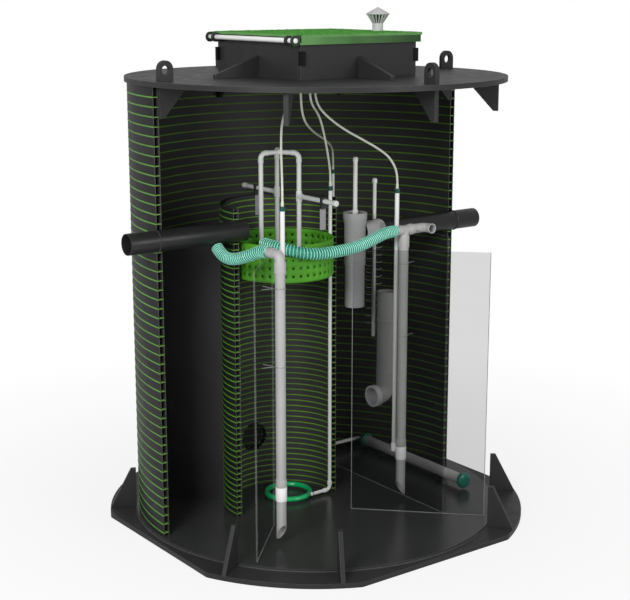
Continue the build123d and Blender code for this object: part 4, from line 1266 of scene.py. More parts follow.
@dataclass
class TankShell:
    """The base and floor, the roof plate, their stiffening plates and the lifting lugs."""

    radius: float = 1.0
    rim: float = 1.014
    inner: float = 0.968
    base_reach: float = 1.160
    base_half: float = 1.049
    base_top: float = 0.026
    floor_top: float = 0.038
    roof_low: float = 2.393
    roof_top: float = 2.419
    access_half: float = 0.290
    sides: int = 300
    edge: float = 0.0016

    def base(self) -> None:
        """Makes the base plate, a disc cut off square, the floor disc on it with its weld bead, and their plugs."""
        outline = np.clip(round_outline((0, 0), self.base_reach, self.sides), -self.base_half, self.base_half)
        button = [(0, 0), (0, 0.009), (0.003, 0.009), (0.003, 0)]
        places = ((-0.869, -0.470, self.floor_top), (1.030, -0.428, self.base_top), (0.590, -0.839, self.base_top))
        plugs = [turned_solid(button, (x, y, z - 0.0005), 0.001, 16) for x, y, z in places]
        base = joined([plate(outline, 0, self.base_top), *plugs])
        black_piece("base_sheet", base, "base_plate", self.edge)
        disc = plate(round_outline((0, 0), self.rim, self.sides), self.base_top, self.floor_top)
        make_piece("floor_sheet", disc, [FLOOR_BLACK], Slot.BLACK_PLATE, ["tank_floor"], bevel=self.edge)
        bead = hoop((0, 0, self.base_top), self.rim + 0.002, 0.0035, steps=240, sides=10)
        make_piece("floor_weld_bead", bead, [WELD_GREY], Slot.BLACK_PLATE)

    def stiffeners(self) -> None:
        """Makes the eight plates round the foot and the eight under the roof."""
        foot = [
            (self.rim, self.base_top), (self.rim + 0.144, self.base_top), (self.rim + 0.028, 0.250),
            (self.rim, 0.250),
        ]
        plates = [standing(foot, 0.022, angle) for angle in (30, 60, 120, 150, 210, 240, 300, 330)]
        black_piece("foot_stiffeners", joined(plates), "base_gussets", self.edge)
        outer = math.sqrt(self.inner**2 - 0.012**2)
        under = [(outer - 0.168, self.roof_low), (outer - 0.027, 2.237), (outer, 2.237), (outer, self.roof_low)]
        plates = [standing(under, 0.024, angle) for angle in range(0, 360, 45)]
        black_piece("roof_stiffeners", joined(plates), "roof_gussets", self.edge)

    def roof(self) -> None:
        """Makes the roof plate with its square access hole, and the four lifting lugs."""
        half = self.access_half
        hole = [(-half, -half), (half, -half), (half, half), (-half, half)]
        sheet = plate(round_outline((0, 0), self.rim, self.sides), self.roof_low, self.roof_top, [hole])
        black_piece("roof_sheet", sheet, "top_plate", self.edge)
        place, wide, shoulder = 0.928, 0.0425, self.roof_top + 0.0575
        top = round_outline((place, shoulder), wide, 25, 0, 180)
        outline = np.concatenate([[(place - wide, self.roof_top), (place + wide, self.roof_top)], top])
        eye = round_outline((place, self.roof_top + 0.053), 0.0225, 32)
        lugs = [standing(outline, 0.024, angle, [eye]) for angle in (0, 90, 180, 270)]
        black_piece("lifting_eyes", joined(lugs), "lifting_lugs", 0.002)

    def walls(self) -> None:
        """Makes the hollow tank wall, which stops at the cut."""
        wall = HollowWall(
            name="tank_wall",
            nodes=tuple(f"outer_wall_{n}" for n in range(1, 7)),
            centre=(0.0, 0.0),
            outer=self.radius,
            wall=self.radius - self.inner,
            low=self.floor_top,
            high=self.roof_low,
            first_rib=0.0573,
            pitch=0.0486,
            east_notch=(1.534, 0.0553),
            west_notch=(1.625, 0.0553),
        )
        wall.build()

    def build(self) -> None:
        """Makes every piece of the shell."""
        self.base()
        self.stiffeners()
        self.roof()
        self.walls()


@dataclass
class AccessNeck:
    """The square neck over the access hole: four tenoned sheets, their stiffeners and the hinge's fixed part."""

    half: float = 0.375
    wall: float = 0.020
    low: float = 2.419
    top: float = 2.628
    tenon: Pair = (2.491, 2.560)

    def build(self) -> None:
        """Makes the sheets, the stiffeners, the hinge ears and the white hinge tube."""
        inner = self.half - self.wall
        low, high = self.tenon
        outline = [(-self.half, self.low), (inner, self.low), (inner, self.top), (-self.half, self.top)]
        outline += [(-self.half, high), (-inner, high), (-inner, low), (-self.half, low)]
        tenon = [(inner, low), (self.half + 0.018, low), (self.half + 0.018, high), (inner, high)]
        flat = joined([plate(outline, inner, self.half), plate(tenon, inner, self.half, mark=1, rim_mark=1)])
        sheet = flat.upright()
        for number, side in enumerate(("south", "east", "north", "west")):
            made = sheet.turned(90 * number)
            make_piece(
                f"neck_sheet_{side}", made, [SATIN_BLACK, SEAM_BLACK], Slot.BLACK_PLATE, [f"neck_wall_{side}"],
                bevel=0.0014,
            )
        fin = [
            (self.half, self.low), (self.half + 0.265, self.low), (self.half + 0.265, self.low + 0.020),
            (self.half, self.low + 0.110),
        ]
        fins = joined([standing(fin, 0.024, angle) for angle in (0, 90, 180, 270)])
        black_piece("neck_stiffeners", fins, "neck_gussets", 0.0016)
        x, z = HINGE_AXIS
        ear = np.concatenate([[(-self.half, z - 0.025), (-self.half, z)], round_outline((x, z), 0.025, 36, 0, 270)])
        bore = [round_outline((x, z), HINGE_BORE, 28)]
        ears = [plate(ear, -y - 0.0075, -y + 0.0075, bore).upright() for y in (-0.330, 0.335)]
        black_piece("neck_hinge_ears", joined(ears), "hinge_ears", 0.0015)
        rod = bar((x, -0.392, z), (x, 0.399, z), 0.0125, 0.0025, 36)
        make_piece("hinge_rod", rod, [BAND_WHITE], Slot.PIPE_WHITE, ["hinge_tube"])


@dataclass
class Lid:
    """The hinged lid with its pebbled top, its skirt, its hinge ears and the vent on it."""

    west: float = -0.384
    east: float = 0.406
    south: float = -0.388
    north: float = 0.395
    low: float = 2.6283
    top: float = 2.6403
    vent: Pair = (0.335, -0.105)
    tread: float = 0.0045
    cells: int = 210
    seed: int = 11
    rim_fall: float = 0.006

    def tread_surface(self) -> Surface:
        """The pebbled top: height = tread x (smoothed seeded noise), falling to 0 at the rim."""
        random = np.random.default_rng(self.seed)
        pebbles = random.random((self.cells, self.cells))
        for _ in range(3):
            beside = pebbles + np.roll(pebbles, 1, 0) + np.roll(pebbles, 1, 1)
            pebbles = (beside + np.roll(pebbles, (1, 1), (0, 1))) / 4
        pebbles = (pebbles - pebbles.min()) / np.ptp(pebbles)
        across = np.linspace(self.west, self.east, self.cells)
        away = np.linspace(self.south, self.north, self.cells)
        x, y = np.meshgrid(across, away, indexing="xy")
        rim = np.minimum.reduce([x - self.west, self.east - x, y - self.south, self.north - y])
        height = self.tread * pebbles * np.clip(rim / self.rim_fall, 0, 1)
        points = np.stack([x, y, self.top + height], axis=-1)
        return Surface(points.reshape(-1, 3), [lattice(self.cells, self.cells)], [0])

    def leaf(self) -> None:
        """Makes the lid's sheet and its tread, its skirt and its ears."""
        make_piece("lid_tread", self.tread_surface(), [LID_TOP], Slot.LID_GREEN, body=Body.LID)
        sheet = box_plate((self.west, self.east), (self.south, self.north), (self.low, self.top))
        skirt_east = self.east - 0.010
        z = (2.592, self.low)
        parts = [sheet, box_plate((self.west, skirt_east), (self.south, self.south + 0.006), z)]
        parts.append(box_plate((self.west, skirt_east), (self.north - 0.006, self.north), z))
        parts.append(box_plate((skirt_east - 0.006, skirt_east), (self.south, self.north), z))
        x, height = HINGE_AXIS
        arc = round_outline((x, height), 0.0265, 40, 90, 255)
        outline = np.concatenate([arc, [(self.west + 0.006, height - 0.0125), (self.west + 0.006, self.top)]])
        bore = [round_outline((x, height), HINGE_BORE, 28)]
        for inner, outer in ((-self.south - 0.008, -self.south), (-self.north, -self.north + 0.008)):
            ear = plate(outline, inner, outer, bore, mark=1, rim_mark=1)
            parts.append(ear.upright())
        # The sheet and the skirt take the darker copy of the lid's green, painted shade for the side faces.
        make_piece("lid_leaf", joined(parts), [LID_SIDE_PAINTED_SHADE, LID_EAR], Slot.LID_GREEN, ["lid"], Body.LID, bevel=0.0012)

    def vent_pipe(self) -> None:
        """Makes the vent: a short stem, slats that fan out from it and a cone on top, round a dark core that paints
        the shade inside it.
        """
        x, y = self.vent
        foot = (x, y, self.top)
        stem = carried(
            pipe_wall(0.044, 0.029, 0.003, [(0.0, 0.006, 0.032)], 0.001), straight(foot, (x, y, self.top + 0.044)),
            48,
        )
        cone = turned_solid(
            [(0.088, 0), (0.088, 0.0615), (0.090, 0.0635), (0.093, 0.0630), (0.124, 0.006), (0.128, 0)], foot, 0.002,
            64,
        )
        slat = [(0.020, 0.040), (0.029, 0.040), (0.0605, 0.089), (0.046, 0.089)]
        slats = [standing(slat, 0.0042, angle).moved(foot) for angle in np.arange(18) * 20.0]
        # A dark core: painted shade, seen in the gaps between the slats.
        core = turned_solid([(0.040, 0), (0.040, 0.018), (0.088, 0.042), (0.088, 0)], foot, 0.001, 40, mark=1)
        vent = joined([stem, cone, *slats, core])
        make_piece("vent_pipe", vent, [VENT_GREY, VENT_PAINTED_SHADE], Slot.VENT_GREY, ["vent_cowl"], Body.LID)

    def build(self) -> None:
        """Makes the lid and its vent."""
        self.leaf()
        self.vent_pipe()


@dataclass
class InnerChamber:
    """The inner round chamber, and the basket in it with its handle and brackets."""

    centre: Pair = (-0.198, 0.030)
    radius: float = 0.340
    wall: float = 0.032
    low: float = 0.038
    top: float = 1.745
    basket_radius: float = 0.272
    basket_low: float = 1.358
    basket_sheet: float = 0.004
    basket_floor: float = 0.006
    cells: int = 41
    hole: float = 0.0068
    notch_way: int = 234
    handle: Pair = (-0.215, 0.042)
    handle_spread: float = 0.117
    handle_top: float = 2.0155
    handle_bend: float = 0.030
    tube: float = 0.0125
    arm_z: float = 1.785

    def chamber(self) -> None:
        """Makes the chamber's hollow wall, with the inlet pipe's notch and the round hole at its back."""
        wall = HollowWall(
            name="chamber_wall",
            nodes=tuple(f"inner_wall_{n}" for n in (1, 2, 3)),
            centre=self.centre,
            outer=self.radius,
            wall=self.wall,
            low=self.low,
            high=self.top,
            first_rib=0.0553,
            pitch=0.03265,
            west_notch=(1.625, 0.0553),
            hole=(0.342, 0.0825),
            columns=96,
        )
        wall.build()

    def perforated(self, columns: int, heights: Place, hole: float) -> Surface:
        """The basket's wall unrolled: cells with a round hole each, between plain bands.

        In a cell, hole points are (cos k, sin k) times the hole's radius, and they join 16 points of the cell's
        border, which are (cos k, sin k) / max(|cos k|, |sin k|) times half of its sides.

        Args:
            columns: cells round the basket.
            heights: the heights between the bands and rows, where the first and last stretch are plain bands.
            hole: the holes' radius.

        Returns:
            The surface on the cylinder, its outside outwards.
        """
        k = np.radians(np.arange(16) * 22.5)
        ring = np.stack([np.cos(k), np.sin(k)], axis=1)
        border = ring / np.abs(ring).max(axis=1)[:, None]
        width = 2 * math.pi * self.basket_radius / columns
        rows = np.array(list(zip(heights[1:-2], heights[2:-1])))
        i, j = (g.ravel() for g in np.meshgrid(np.arange(len(rows)), np.arange(columns), indexing="ij"))
        notch = round((self.notch_way / 360) * columns)
        kept = ~((i == len(rows) - 1) & (np.abs(j - notch) <= 2))
        i, j = i[kept], j[kept]
        tall = (rows[i, 1] - rows[i, 0]) / 2
        middle = np.stack([j * width, rows[i].mean(axis=1)], axis=1)[:, None]
        outer = middle + border[None] * np.stack([np.full(len(i), width / 2), tall], axis=1)[:, None]
        inner = middle + ring[None] * hole
        flat = np.concatenate([outer, inner], axis=1).reshape(-1, 2)
        here = np.arange(16)
        after = (here + 1) % 16
        local = np.stack([here, after, 16 + after, 16 + here], axis=1)
        faces = [(local[None] + 32 * np.arange(len(i))[:, None, None]).reshape(-1, 4)]
        step = np.array([-1, -math.tan(math.radians(22.5)), 0, math.tan(math.radians(22.5))]) * width / 2
        for low, high, gaps in ((heights[0], heights[1], False), (heights[-2], heights[-1], True)):
            cell = np.repeat(np.arange(columns), 4)
            left = cell * width + np.tile(step, columns)
            right = cell * width + np.tile(np.append(step[1:], width / 2), columns)
            keep = (np.abs(cell - notch) > 2) if gaps else np.full(len(cell), True)
            left, right = left[keep], right[keep]
            under, over = np.full_like(left, low), np.full_like(left, high)
            corners = np.stack([left, under, right, under, right, over, left, over], axis=1)
            faces.append(np.arange(len(flat), len(flat) + 4 * len(left)).reshape(-1, 4))
            flat = np.concatenate([flat, corners.reshape(-1, 2)])
        angle = flat[:, 0] / self.basket_radius
        x = self.centre[0] + self.basket_radius * np.cos(angle)
        y = self.centre[1] + self.basket_radius * np.sin(angle)
        return Surface(np.stack([x, y, self.basket_low + flat[:, 1]], axis=1), faces, [0] * len(faces))

    def basket(self) -> None:
        """Makes the basket's perforated wall, notched at the front, and its perforated floor."""
        heights = (0, 0.012, 0.05533, 0.09867, 0.142, 0.18575, 0.200)
        sheet = make_piece(
            "basket_sheet", self.perforated(self.cells, heights, self.hole), [BASKET_GREEN], Slot.BASKET_GREEN, ["basket"],
        )
        thick = sheet.modifiers.new("sheet_thickness", "SOLIDIFY")
        thick.thickness = self.basket_sheet
        thick.offset = -1
        x, y = np.meshgrid(np.arange(-5, 6) * 0.046, np.arange(-5, 6) * 0.046)
        spots = np.stack([x.ravel(), y.ravel()], axis=1)
        spots = spots[np.linalg.norm(spots, axis=1) < self.basket_radius - 0.03] + self.centre
        holes = [round_outline(spot, self.hole, 10) for spot in spots]
        rim = round_outline(self.centre, self.basket_radius - self.basket_sheet, 82)
        make_piece(
            "basket_floor", plate(rim, self.basket_low, self.basket_low + self.basket_floor, holes), [BASKET_GREEN],
            Slot.BASKET_GREEN, bevel=0.0008,
        )

    def leg(self, degrees: float) -> Pair:
        """Plan position of the handle's leg at an angle."""
        turn = math.radians(degrees)
        x, y = self.handle
        return x + self.handle_spread * math.cos(turn), y + self.handle_spread * math.sin(turn)

    def handle_tubes(self) -> None:
        """Makes the handle: three bent legs that meet in a hub, and an arm with a cap from two of them."""
        hub = np.array((*self.handle, self.handle_top))
        parts = [hoop(hub, 0.0006, 0.0168, steps=24, sides=20)]
        for degrees in (180, 60, 300):
            x, y = self.leg(degrees)
            path = bent((x, y, self.basket_low + self.basket_floor), (x, y, self.handle_top), hub, self.handle_bend)
            length = float(np.linalg.norm(np.diff(path, axis=0), axis=1).sum())
            upright = self.handle_top - self.handle_bend - self.basket_low - self.basket_floor
            lips = [
                (upright - 0.020, upright - 0.004, 0.0150), (upright - 0.004, upright + 0.046, 0.0140),
                (upright + 0.046, upright + 0.060, 0.0150),
            ]
            lift = np.array((math.sin(math.radians(degrees)), -math.cos(math.radians(degrees)), 0.0))
            wall = dense(pipe_wall(length, self.tube, 0.0025, lips, 0.0008), 0.006)
            parts.append(carried(wall, path, 28, up=lift))
        for degrees, end in ((300, -0.389), (60, 0.470)):
            x, y = self.leg(degrees)
            away = math.copysign(1.0, end - y)
            parts.append(bar((x, y, self.arm_z), (x, end - away * 0.006, self.arm_z), self.tube))
            parts.append(bar((x, y, self.arm_z), (x, y + away * 0.026, self.arm_z), 0.016))
            parts.append(bar((x, y, self.arm_z - 0.028), (x, y, self.arm_z + 0.028), 0.016, up=Y_AXIS))
            parts.append(bar((x, end - away * 0.026, self.arm_z), (x, end, self.arm_z), 0.0155, 0.003))
        make_piece("handle_tubes", joined(parts), [HANDLE_WHITE_PAINTED_SHADE], Slot.PIPE_WHITE, ["basket_handle"])

    def brackets(self) -> None:
        """Makes the clamp that holds each arm on the chamber's rim, and the plate that hangs from it inside."""
        x = self.leg(60)[0]
        reach = math.sqrt((self.radius - self.wall) ** 2 - (abs(x - self.centre[0]) + 0.0185) ** 2)
        clamps, plates = [], []
        for side in (-1, 1):
            near, rim, far = (self.centre[1] + side * d for d in (reach - 0.004, reach, reach + 0.013))
            across = (x - 0.0185, x + 0.0185)
            clamps.append(box_plate(across, sorted((near, far)), (self.top, self.arm_z + 0.020)))
            plates.append(box_plate(across, sorted((near, rim)), (self.top - 0.112, self.top)))
        make_piece("rim_clamps", joined(clamps), [FOOT_BLACK], Slot.FOOT_BLACK, ["handle_brackets"], bevel=0.002)
        make_piece("hanging_plates", joined(plates), [HANGER_GREY], Slot.BRACKET_GREY, bevel=0.0012)

    def build(self) -> None:
        """Makes the chamber, the basket, the handle and the brackets."""
        self.chamber()
        self.basket()
        self.handle_tubes()
        self.brackets()


@dataclass
class Partitions:
    """The upright partition sheets: a black one at the back left, and three clear ones."""

    thickness: float = 0.010
    low: float = 0.038
    tank: float = 0.968

    def sheet(
        self, name: str, node: str, start: Pair, degrees: float, top: float,
        finishes: Sequence[Finish], slot: Slot,
    ) -> None:
        """Makes a plain sheet from a point out to the tank wall, where |start + s direction| is the wall's radius.

        Args:
            name: the piece's name.
            node: the solid that it stands for.
            start: where the sheet starts, in plan.
            degrees: its direction.
            top: its top edge.
            finishes: finishes of its faces and of its edges.
            slot: its material slot.
        """
        way = plan_way(degrees)
        place = np.asarray(start)
        along = float(place @ way)
        length = -along + math.sqrt(along**2 - float(place @ place) + self.tank**2)
        flat = plate(
            [(0, self.low), (length, self.low), (length, top), (0, top)], -self.thickness / 2, self.thickness / 2,
            rim_mark=1,
        )
        direction = np.array((*way, 0.0))
        made = flat.placed(direction, Z_AXIS, np.cross(direction, Z_AXIS), (*place, 0.0))
        make_piece(name, made, finishes, slot, [node], bevel=0.0008)

    def build(self) -> None:
        """Makes the four sheets."""
        clear = (PANEL_CLEAR, PANEL_EDGE)
        centre = np.array((-0.198, 0.030))
        black = (PANEL_BLACK, PANEL_BLACK)
        sheets = (
            ("black_partition", "partition_back_left", 135, 1.588, black, Slot.PANEL_DARK),
            ("left_clear_sheet", "partition_front_left", 225, 1.538, clear, Slot.PANEL_CLEAR),
        )
        for name, node, degrees, top, finishes, slot in sheets:
            start = centre + 0.3405 * plan_way(degrees)
            self.sheet(name, node, start, degrees, top, finishes, slot)
        self.sheet(
            "slanted_clear_sheet", "partition_front_right", (0.043, -0.272), -45, 1.509, clear, Slot.PANEL_CLEAR,
        )
        notch = round_outline((0, 1.534), 0.0553, 25, 0, -180)
        run = round_outline((-0.340, 1.590), 0.0263, 21, -4.4, -171.2)
        outline = [
            (-0.626, self.low), (0.877, self.low), (0.877, 1.588), (0.0553, 1.588), *notch, (-0.0553, 1.588), *run,
            (-0.626, 1.588),
        ]
        hole = round_outline((-0.044, 0.575), 0.0553, 40)
        flat = plate(outline, -self.thickness / 2, self.thickness / 2, [hole], rim_mark=1)
        right = flat.placed(Y_AXIS, Z_AXIS, X_AXIS, (0.409, 0, 0))
        make_piece("right_clear_sheet", right, clear, Slot.PANEL_CLEAR, ["partition_right"], bevel=0.0008)
        self.seams()

    def seams(self) -> None:
        """Makes the thin pale seams along the clear sheets' feet and their upright ends."""
        left, slanted = math.radians(225), math.radians(-45)
        foot = self.low + 0.001
        runs = [((0.409, -0.628, foot), (0.409, 0.877, foot))]
        for x, y, way, length, top in ((-0.198, 0.030, left, 0.8355, 1.538), (0.043, -0.272, slanted, 0.7316, 1.509)):
            first = 0.3402 if way == left else 0.0
            ends = [(x + d * math.cos(way), y + d * math.sin(way)) for d in (first, length)]
            runs.append(((*ends[0], foot), (*ends[1], foot)))
            if way == slanted:
                runs += [((*end, foot), (*end, top)) for end in ends]
        seams = [bar(start, end, 0.0018, 0.0004, 8, X_AXIS if start[2] != end[2] else Z_AXIS) for start, end in runs]
        make_piece("clear_sheet_seams", joined(seams), [SHEET_SEAM], Slot.PANEL_CLEAR)


@dataclass
class DrainLine:
    """The inlet pipe, the outlet pipe with its tee and rod, the transfer riser and its brush."""

    main: float = 0.055
    wall: float = 0.004
    end: float = 1.170
    inlet_mouth: float = -0.470
    outlet_mouth: float = 0.420
    inlet_z: float = 1.625
    outlet_z: float = 1.534
    tee: Pair = (0.272, 0.0)
    transfer: Pair = (0.472, -0.044)
    transfer_bend: float = 0.062
    sides: int = 64

    def weld(self, side: int, z: float) -> Surface:
        """The weld bead round a pipe where it leaves the tank."""
        return hoop((side * 1.001, 0, z), self.main + 0.0005, 0.0035, X_AXIS, 64, 10)

    def main_pipes(self) -> None:
        """Makes the two black pipes through the tank wall, the inlet's stub and the outlet's rubber rings."""
        length = self.end + self.inlet_mouth
        path = straight((-self.end, 0, self.inlet_z), (self.inlet_mouth, 0, self.inlet_z))
        pipe = carried(pipe_wall(length, self.main, self.wall, soft=0.0015), path, self.sides, up=Z_AXIS)
        pitch = math.radians(42)
        stub_end = np.array((-0.657, -0.0225, 1.563))
        stub = bar(stub_end, stub_end + 0.044 * np.array((0, math.cos(pitch), math.sin(pitch))), 0.027, up=X_AXIS)
        inlet = joined([pipe, stub, self.weld(-1, self.inlet_z)])
        make_piece("inlet_drain", inlet, [PIPE_BLACK], Slot.PIPE_BLACK, ["inlet_pipe"])
        path = straight((self.outlet_mouth, 0, self.outlet_z), (self.end, 0, self.outlet_z))
        length = self.end - self.outlet_mouth
        pipe = carried(pipe_wall(length, self.main, self.wall, soft=0.0015), path, self.sides, up=Z_AXIS)
        outlet = joined([pipe, self.weld(1, self.outlet_z)])
        make_piece("outlet_drain", outlet, [PIPE_BLACK], Slot.PIPE_BLACK, ["outlet_pipe"])
        rings = [hoop((x, 0, self.outlet_z), self.main + 0.001, 0.005, X_AXIS, 64, 14) for x in (0.462, 0.490)]
        make_piece("outlet_rubber_rings", joined(rings), [RUBBER], Slot.PIPE_BLACK)

    def outlet_fitting(self) -> None:
        """Makes the grey tee in front of the outlet, its flared sockets, the plug in its top and the plug's rod."""
        x, y = self.tee
        outline = [
            (0, 0.051), (0, 0.055), (0.004, 0.055), (0.004, 0.0558), (0.238, 0.0558), (0.238, 0.060), (0.470, 0.060),
        ]
        outline += [(0.500, 0.0665), (0.536, 0.0675), (0.536, 0.0553), (0.476, 0.0553), (0.470, 0.051)]
        body = carried(softened(outline, 0.0015), straight((x, y, 1.114), (x, y, 1.650)), self.sides)
        branch = [
            (0.050, 0.051), (0.050, 0.0585), (0.140, 0.0585), (0.150, 0.062), (0.176, 0.062), (0.179, 0.0600),
            (0.179, 0.0553), (0.148, 0.0553), (0.148, 0.051),
        ]
        arm = carried(
            softened(branch, 0.0015), straight((x, y, self.outlet_z), (x + 0.179, y, self.outlet_z)), self.sides,
            up=Z_AXIS,
        )
        seams = [hoop((x, y, z), 0.0592, 0.0016, steps=64, sides=8) for z in (1.362, 1.400, 1.590)]
        make_piece("outlet_tee_body", joined([body, arm, *seams]), [PIPE_GREY], Slot.PIPE_GREY, ["outlet_tee"])
        plug = turned_solid(
            [(1.590, 0), (1.590, 0.0545), (1.642, 0.0545), (1.642, 0)], (x, y, 0), 0.002, self.sides, 1,
        )
        shaft = [
            (1.642, 0), (1.642, 0.017), (1.660, 0.017), (1.666, 0.012), (1.932, 0.012), (1.932, 0.0145),
            (1.952, 0.0145), (1.958, 0.009), (1.958, 0),
        ]
        rod = joined([plug, turned_solid(shaft, (x, y, 0), 0.0015, 32)])
        make_piece("outlet_plug_rod", rod, [PIPE_WHITE, PIPE_GREY], Slot.PIPE_WHITE, ["outlet_rod"])

    def transfer_line(self) -> None:
        """Makes the grey riser that takes water through the partition, and the brush that hangs beside its mouth."""
        x, y = self.transfer
        path = bent((0.368, y, 0.575), (x, y, 0.575), (x, y, 1.182), self.transfer_bend)
        bend_end = 0.104 - self.transfer_bend + self.transfer_bend * math.pi / 2
        length = bend_end + 1.182 - 0.637
        lips = [
            (0.0, 0.034, 0.062), (bend_end + 0.002, bend_end + 0.063, 0.0562),
            (bend_end + 0.063, bend_end + 0.077, 0.0575),
        ]
        lips += [(bend_end + 0.369, bend_end + 0.383, 0.0575), (length - 0.05, length - 0.047, 0.0556)]
        wall = dense(pipe_wall(length, self.main, self.wall, lips, 0.0012), 0.008)
        make_piece("transfer_pipe", carried(wall, path, self.sides), [PIPE_GREY], Slot.PIPE_GREY, ["transfer_riser"])
        place = (0.464, self.main + 0.0108)
        profile = [
            (0.896, 0), (0.896, 0.0095), (0.902, 0.0105), (1.792, 0.0105), (1.792, 0.0145), (1.812, 0.0145),
            (1.818, 0.009), (1.818, 0),
        ]
        shaft = turned_solid(profile, (*place, 0), 0.001, 28)
        whiskers = []
        for number in range(23):
            angle = math.radians(-37 + 180 * (number % 2) + 14 * math.sin(2.4 * number))
            way = np.array((math.cos(angle), math.sin(angle), 0.0))
            foot = np.array((*place, 0.955 + 0.021 * number))
            elbow = foot + 0.038 * way
            tip = elbow + 0.007 * way + (0, 0, 0.008)
            whiskers.append(rod_along(bent(foot, elbow, tip, 0.004, 6), 0.0013, up=Y_AXIS, sides=6))
        make_piece("hanging_brush", joined([shaft, *whiskers]), [PIPE_WHITE], Slot.PIPE_WHITE, ["brush"])

    def build(self) -> None:
        """Makes every drain piece."""
        self.main_pipes()
        self.outlet_fitting()
        self.transfer_line()


@dataclass
class Airlifts:
    """The two airlift risers, their elbow and tee, the white bands that blow air in, and the wire clips."""

    outer: float = 0.026
    wall: float = 0.003
    socket: float = 0.030
    bend: float = 0.032
    left: Pair = (-0.570, -0.467)
    right: Pair = (0.341, -0.340)
    left_run: float = 1.576
    right_run: float = 1.590
    tip: float = 0.070
    slant: float = 0.090
    clip: float = 0.0275

    def riser(self, place: Pair, top: float, facing: float) -> Surface:
        """A riser whose foot is cut on a slant, at z = tip + slant (1 + r cos(a - facing) / R) / 2.

        Args:
            place: its axis in plan.
            top: its top.
            facing: the side, in degrees, to which the cut opens.

        Returns:
            The closed tube.
        """
        angle = np.linspace(0, 2 * math.pi, 44, endpoint=False)
        radii = np.array((self.outer, self.outer, self.outer - self.wall, self.outer - self.wall))[:, None]
        cut = self.tip + self.slant * (1 + radii * np.cos(angle - math.radians(facing)) / self.outer) / 2
        z = np.where(np.array((True, False, False, True))[:, None], cut, top)
        points = np.stack([place[0] + radii * np.cos(angle), place[1] + radii * np.sin(angle), z], axis=-1)
        return Surface(points.reshape(-1, 3), [lattice(4, 44, True, True)], [0])

    def risers(self) -> None:
        """Makes the two risers, each with the seam rings of its joints."""
        parts = []
        lifts = ((self.left, self.left_run - 0.062, -90), (self.right, self.right_run - 0.062, 180))
        for place, top, facing in lifts:
            rings = [hoop((*place, z), self.outer - 0.0005, 0.0012, steps=44, sides=6) for z in (0.400, 1.340)]
            sleeve = carried(
                pipe_wall(0.040, 0.0285, 0.002, soft=0.001), straight((*place, 0.365), (*place, 0.405)), 44,
            )
            parts.append(joined([self.riser(place, top, facing), sleeve, *rings]))
        make_piece("sludge_risers", joined(parts), [RISER_GREY], Slot.PIPE_GREY, ["airlift_risers"])

    def fittings(self) -> None:
        """Makes the left elbow and the right tee with its run and open mouth."""
        x, y = self.left
        low = self.left_run - 0.093
        path = bent((x, y, low), (x, y, self.left_run), (x, -0.370, self.left_run), self.bend)
        up = 0.093 - self.bend
        length = up + self.bend * math.pi / 2 + (0.097 - self.bend)
        lips = [(0.0, 0.052, 0.0300), (0.052, 0.061, 0.0285), (length - 0.044, length - 0.038, 0.0275)]
        wall = dense(pipe_wall(length, self.outer, self.wall, lips, 0.001), 0.004)
        elbow = carried(wall, path, 44, up=X_AXIS)
        make_piece("left_elbow", elbow, [RISER_GREY], Slot.PIPE_GREY, ["airlift_left_elbow"])
        x, y = self.right
        z = self.right_run
        path = bent((0.281, y, z), (0.491, y, z), (0.491, -0.400, z), self.bend)
        length = 0.210 - self.bend + self.bend * math.pi / 2 + 0.060 - self.bend
        lips = [
            (0.0, 0.006, 0.0275), (0.030, 0.036, 0.0285), (0.094, 0.118, 0.0300), (0.118, 0.124, 0.0275),
            (length - 0.010, length, 0.0275),
        ]
        run = carried(dense(pipe_wall(length, self.outer, self.wall, lips, 0.001), 0.004), path, 44, up=Z_AXIS)
        leg = carried(
            pipe_wall(0.088, self.outer, 0.006, [(0.0, 0.062, 0.0300), (0.062, 0.067, 0.0282)], 0.001),
            straight((x, y, z - 0.093), (x, y, z - 0.005)), 44,
        )
        make_piece("right_tee", joined([run, leg]), [RISER_GREY], Slot.PIPE_GREY, ["airlift_right_tee"])

    def air_side(self) -> None:
        """Makes the white bands with their bosses, and the air pipes that stand in them."""
        bands, pipes = [], []
        for (x, y), (air_x, air_y) in zip((self.left, self.right), ((-0.529, -0.432), (0.327, -0.295))):
            band = carried(
                pipe_wall(0.075, self.socket, 0.0035, soft=0.002), straight((x, y, 0.288), (x, y, 0.363)), 44,
            )
            boss = bar((air_x, air_y, 0.3255), (air_x, air_y, 0.372), 0.016, 0.002, up=Y_AXIS)
            link = bar((x, y, 0.3415), (air_x, air_y, 0.3415), 0.010, 0.001)
            bands += [band, boss, link]
            pipes.append(bar((air_x, air_y, 0.363), (air_x, air_y, 1.788), 0.012, 0.001, 32, Y_AXIS))
        make_piece("injection_bands", joined(bands), [BAND_WHITE], Slot.PIPE_WHITE, ["airlift_bands"])
        make_piece("riser_air_pipes", joined(pipes), [PIPE_WHITE], Slot.PIPE_WHITE, ["airlift_air_pipes"])

    def clips(self) -> None:
        """Makes the wire clips: a loop round the riser whose two ends cross and reach to the sheet behind it."""
        wires = []
        for place, toward in ((self.left, 135.0), (self.right, 0.0)):
            reach = 0.0915 if toward else 0.063
            way = plan_way(toward)
            cross = np.array((-way[1], way[0]))
            kinks = ((reach, 0.016), (0.045, 0.004), (0.034, -0.005))
            for z in (1.002, 1.407):
                for side in (-1, 1):
                    angles = np.radians(toward + side * np.linspace(20, 182, 18))
                    loop = place + self.clip * np.stack([np.cos(angles), np.sin(angles)], axis=1)
                    ends = np.array([place + way * d - cross * side * w for d, w in kinks])
                    line = np.concatenate([ends, loop])
                    height = z + side * 0.0016 + np.append((side * 0.004, 0.0, 0.0), np.zeros(18))
                    wires.append(rod_along(np.column_stack([line, height]), 0.0019, up=Z_AXIS, sides=8))
        make_piece("riser_wire_clips", joined(wires), [WIRE], Slot.CLIP_WIRE, ["riser_clips"])

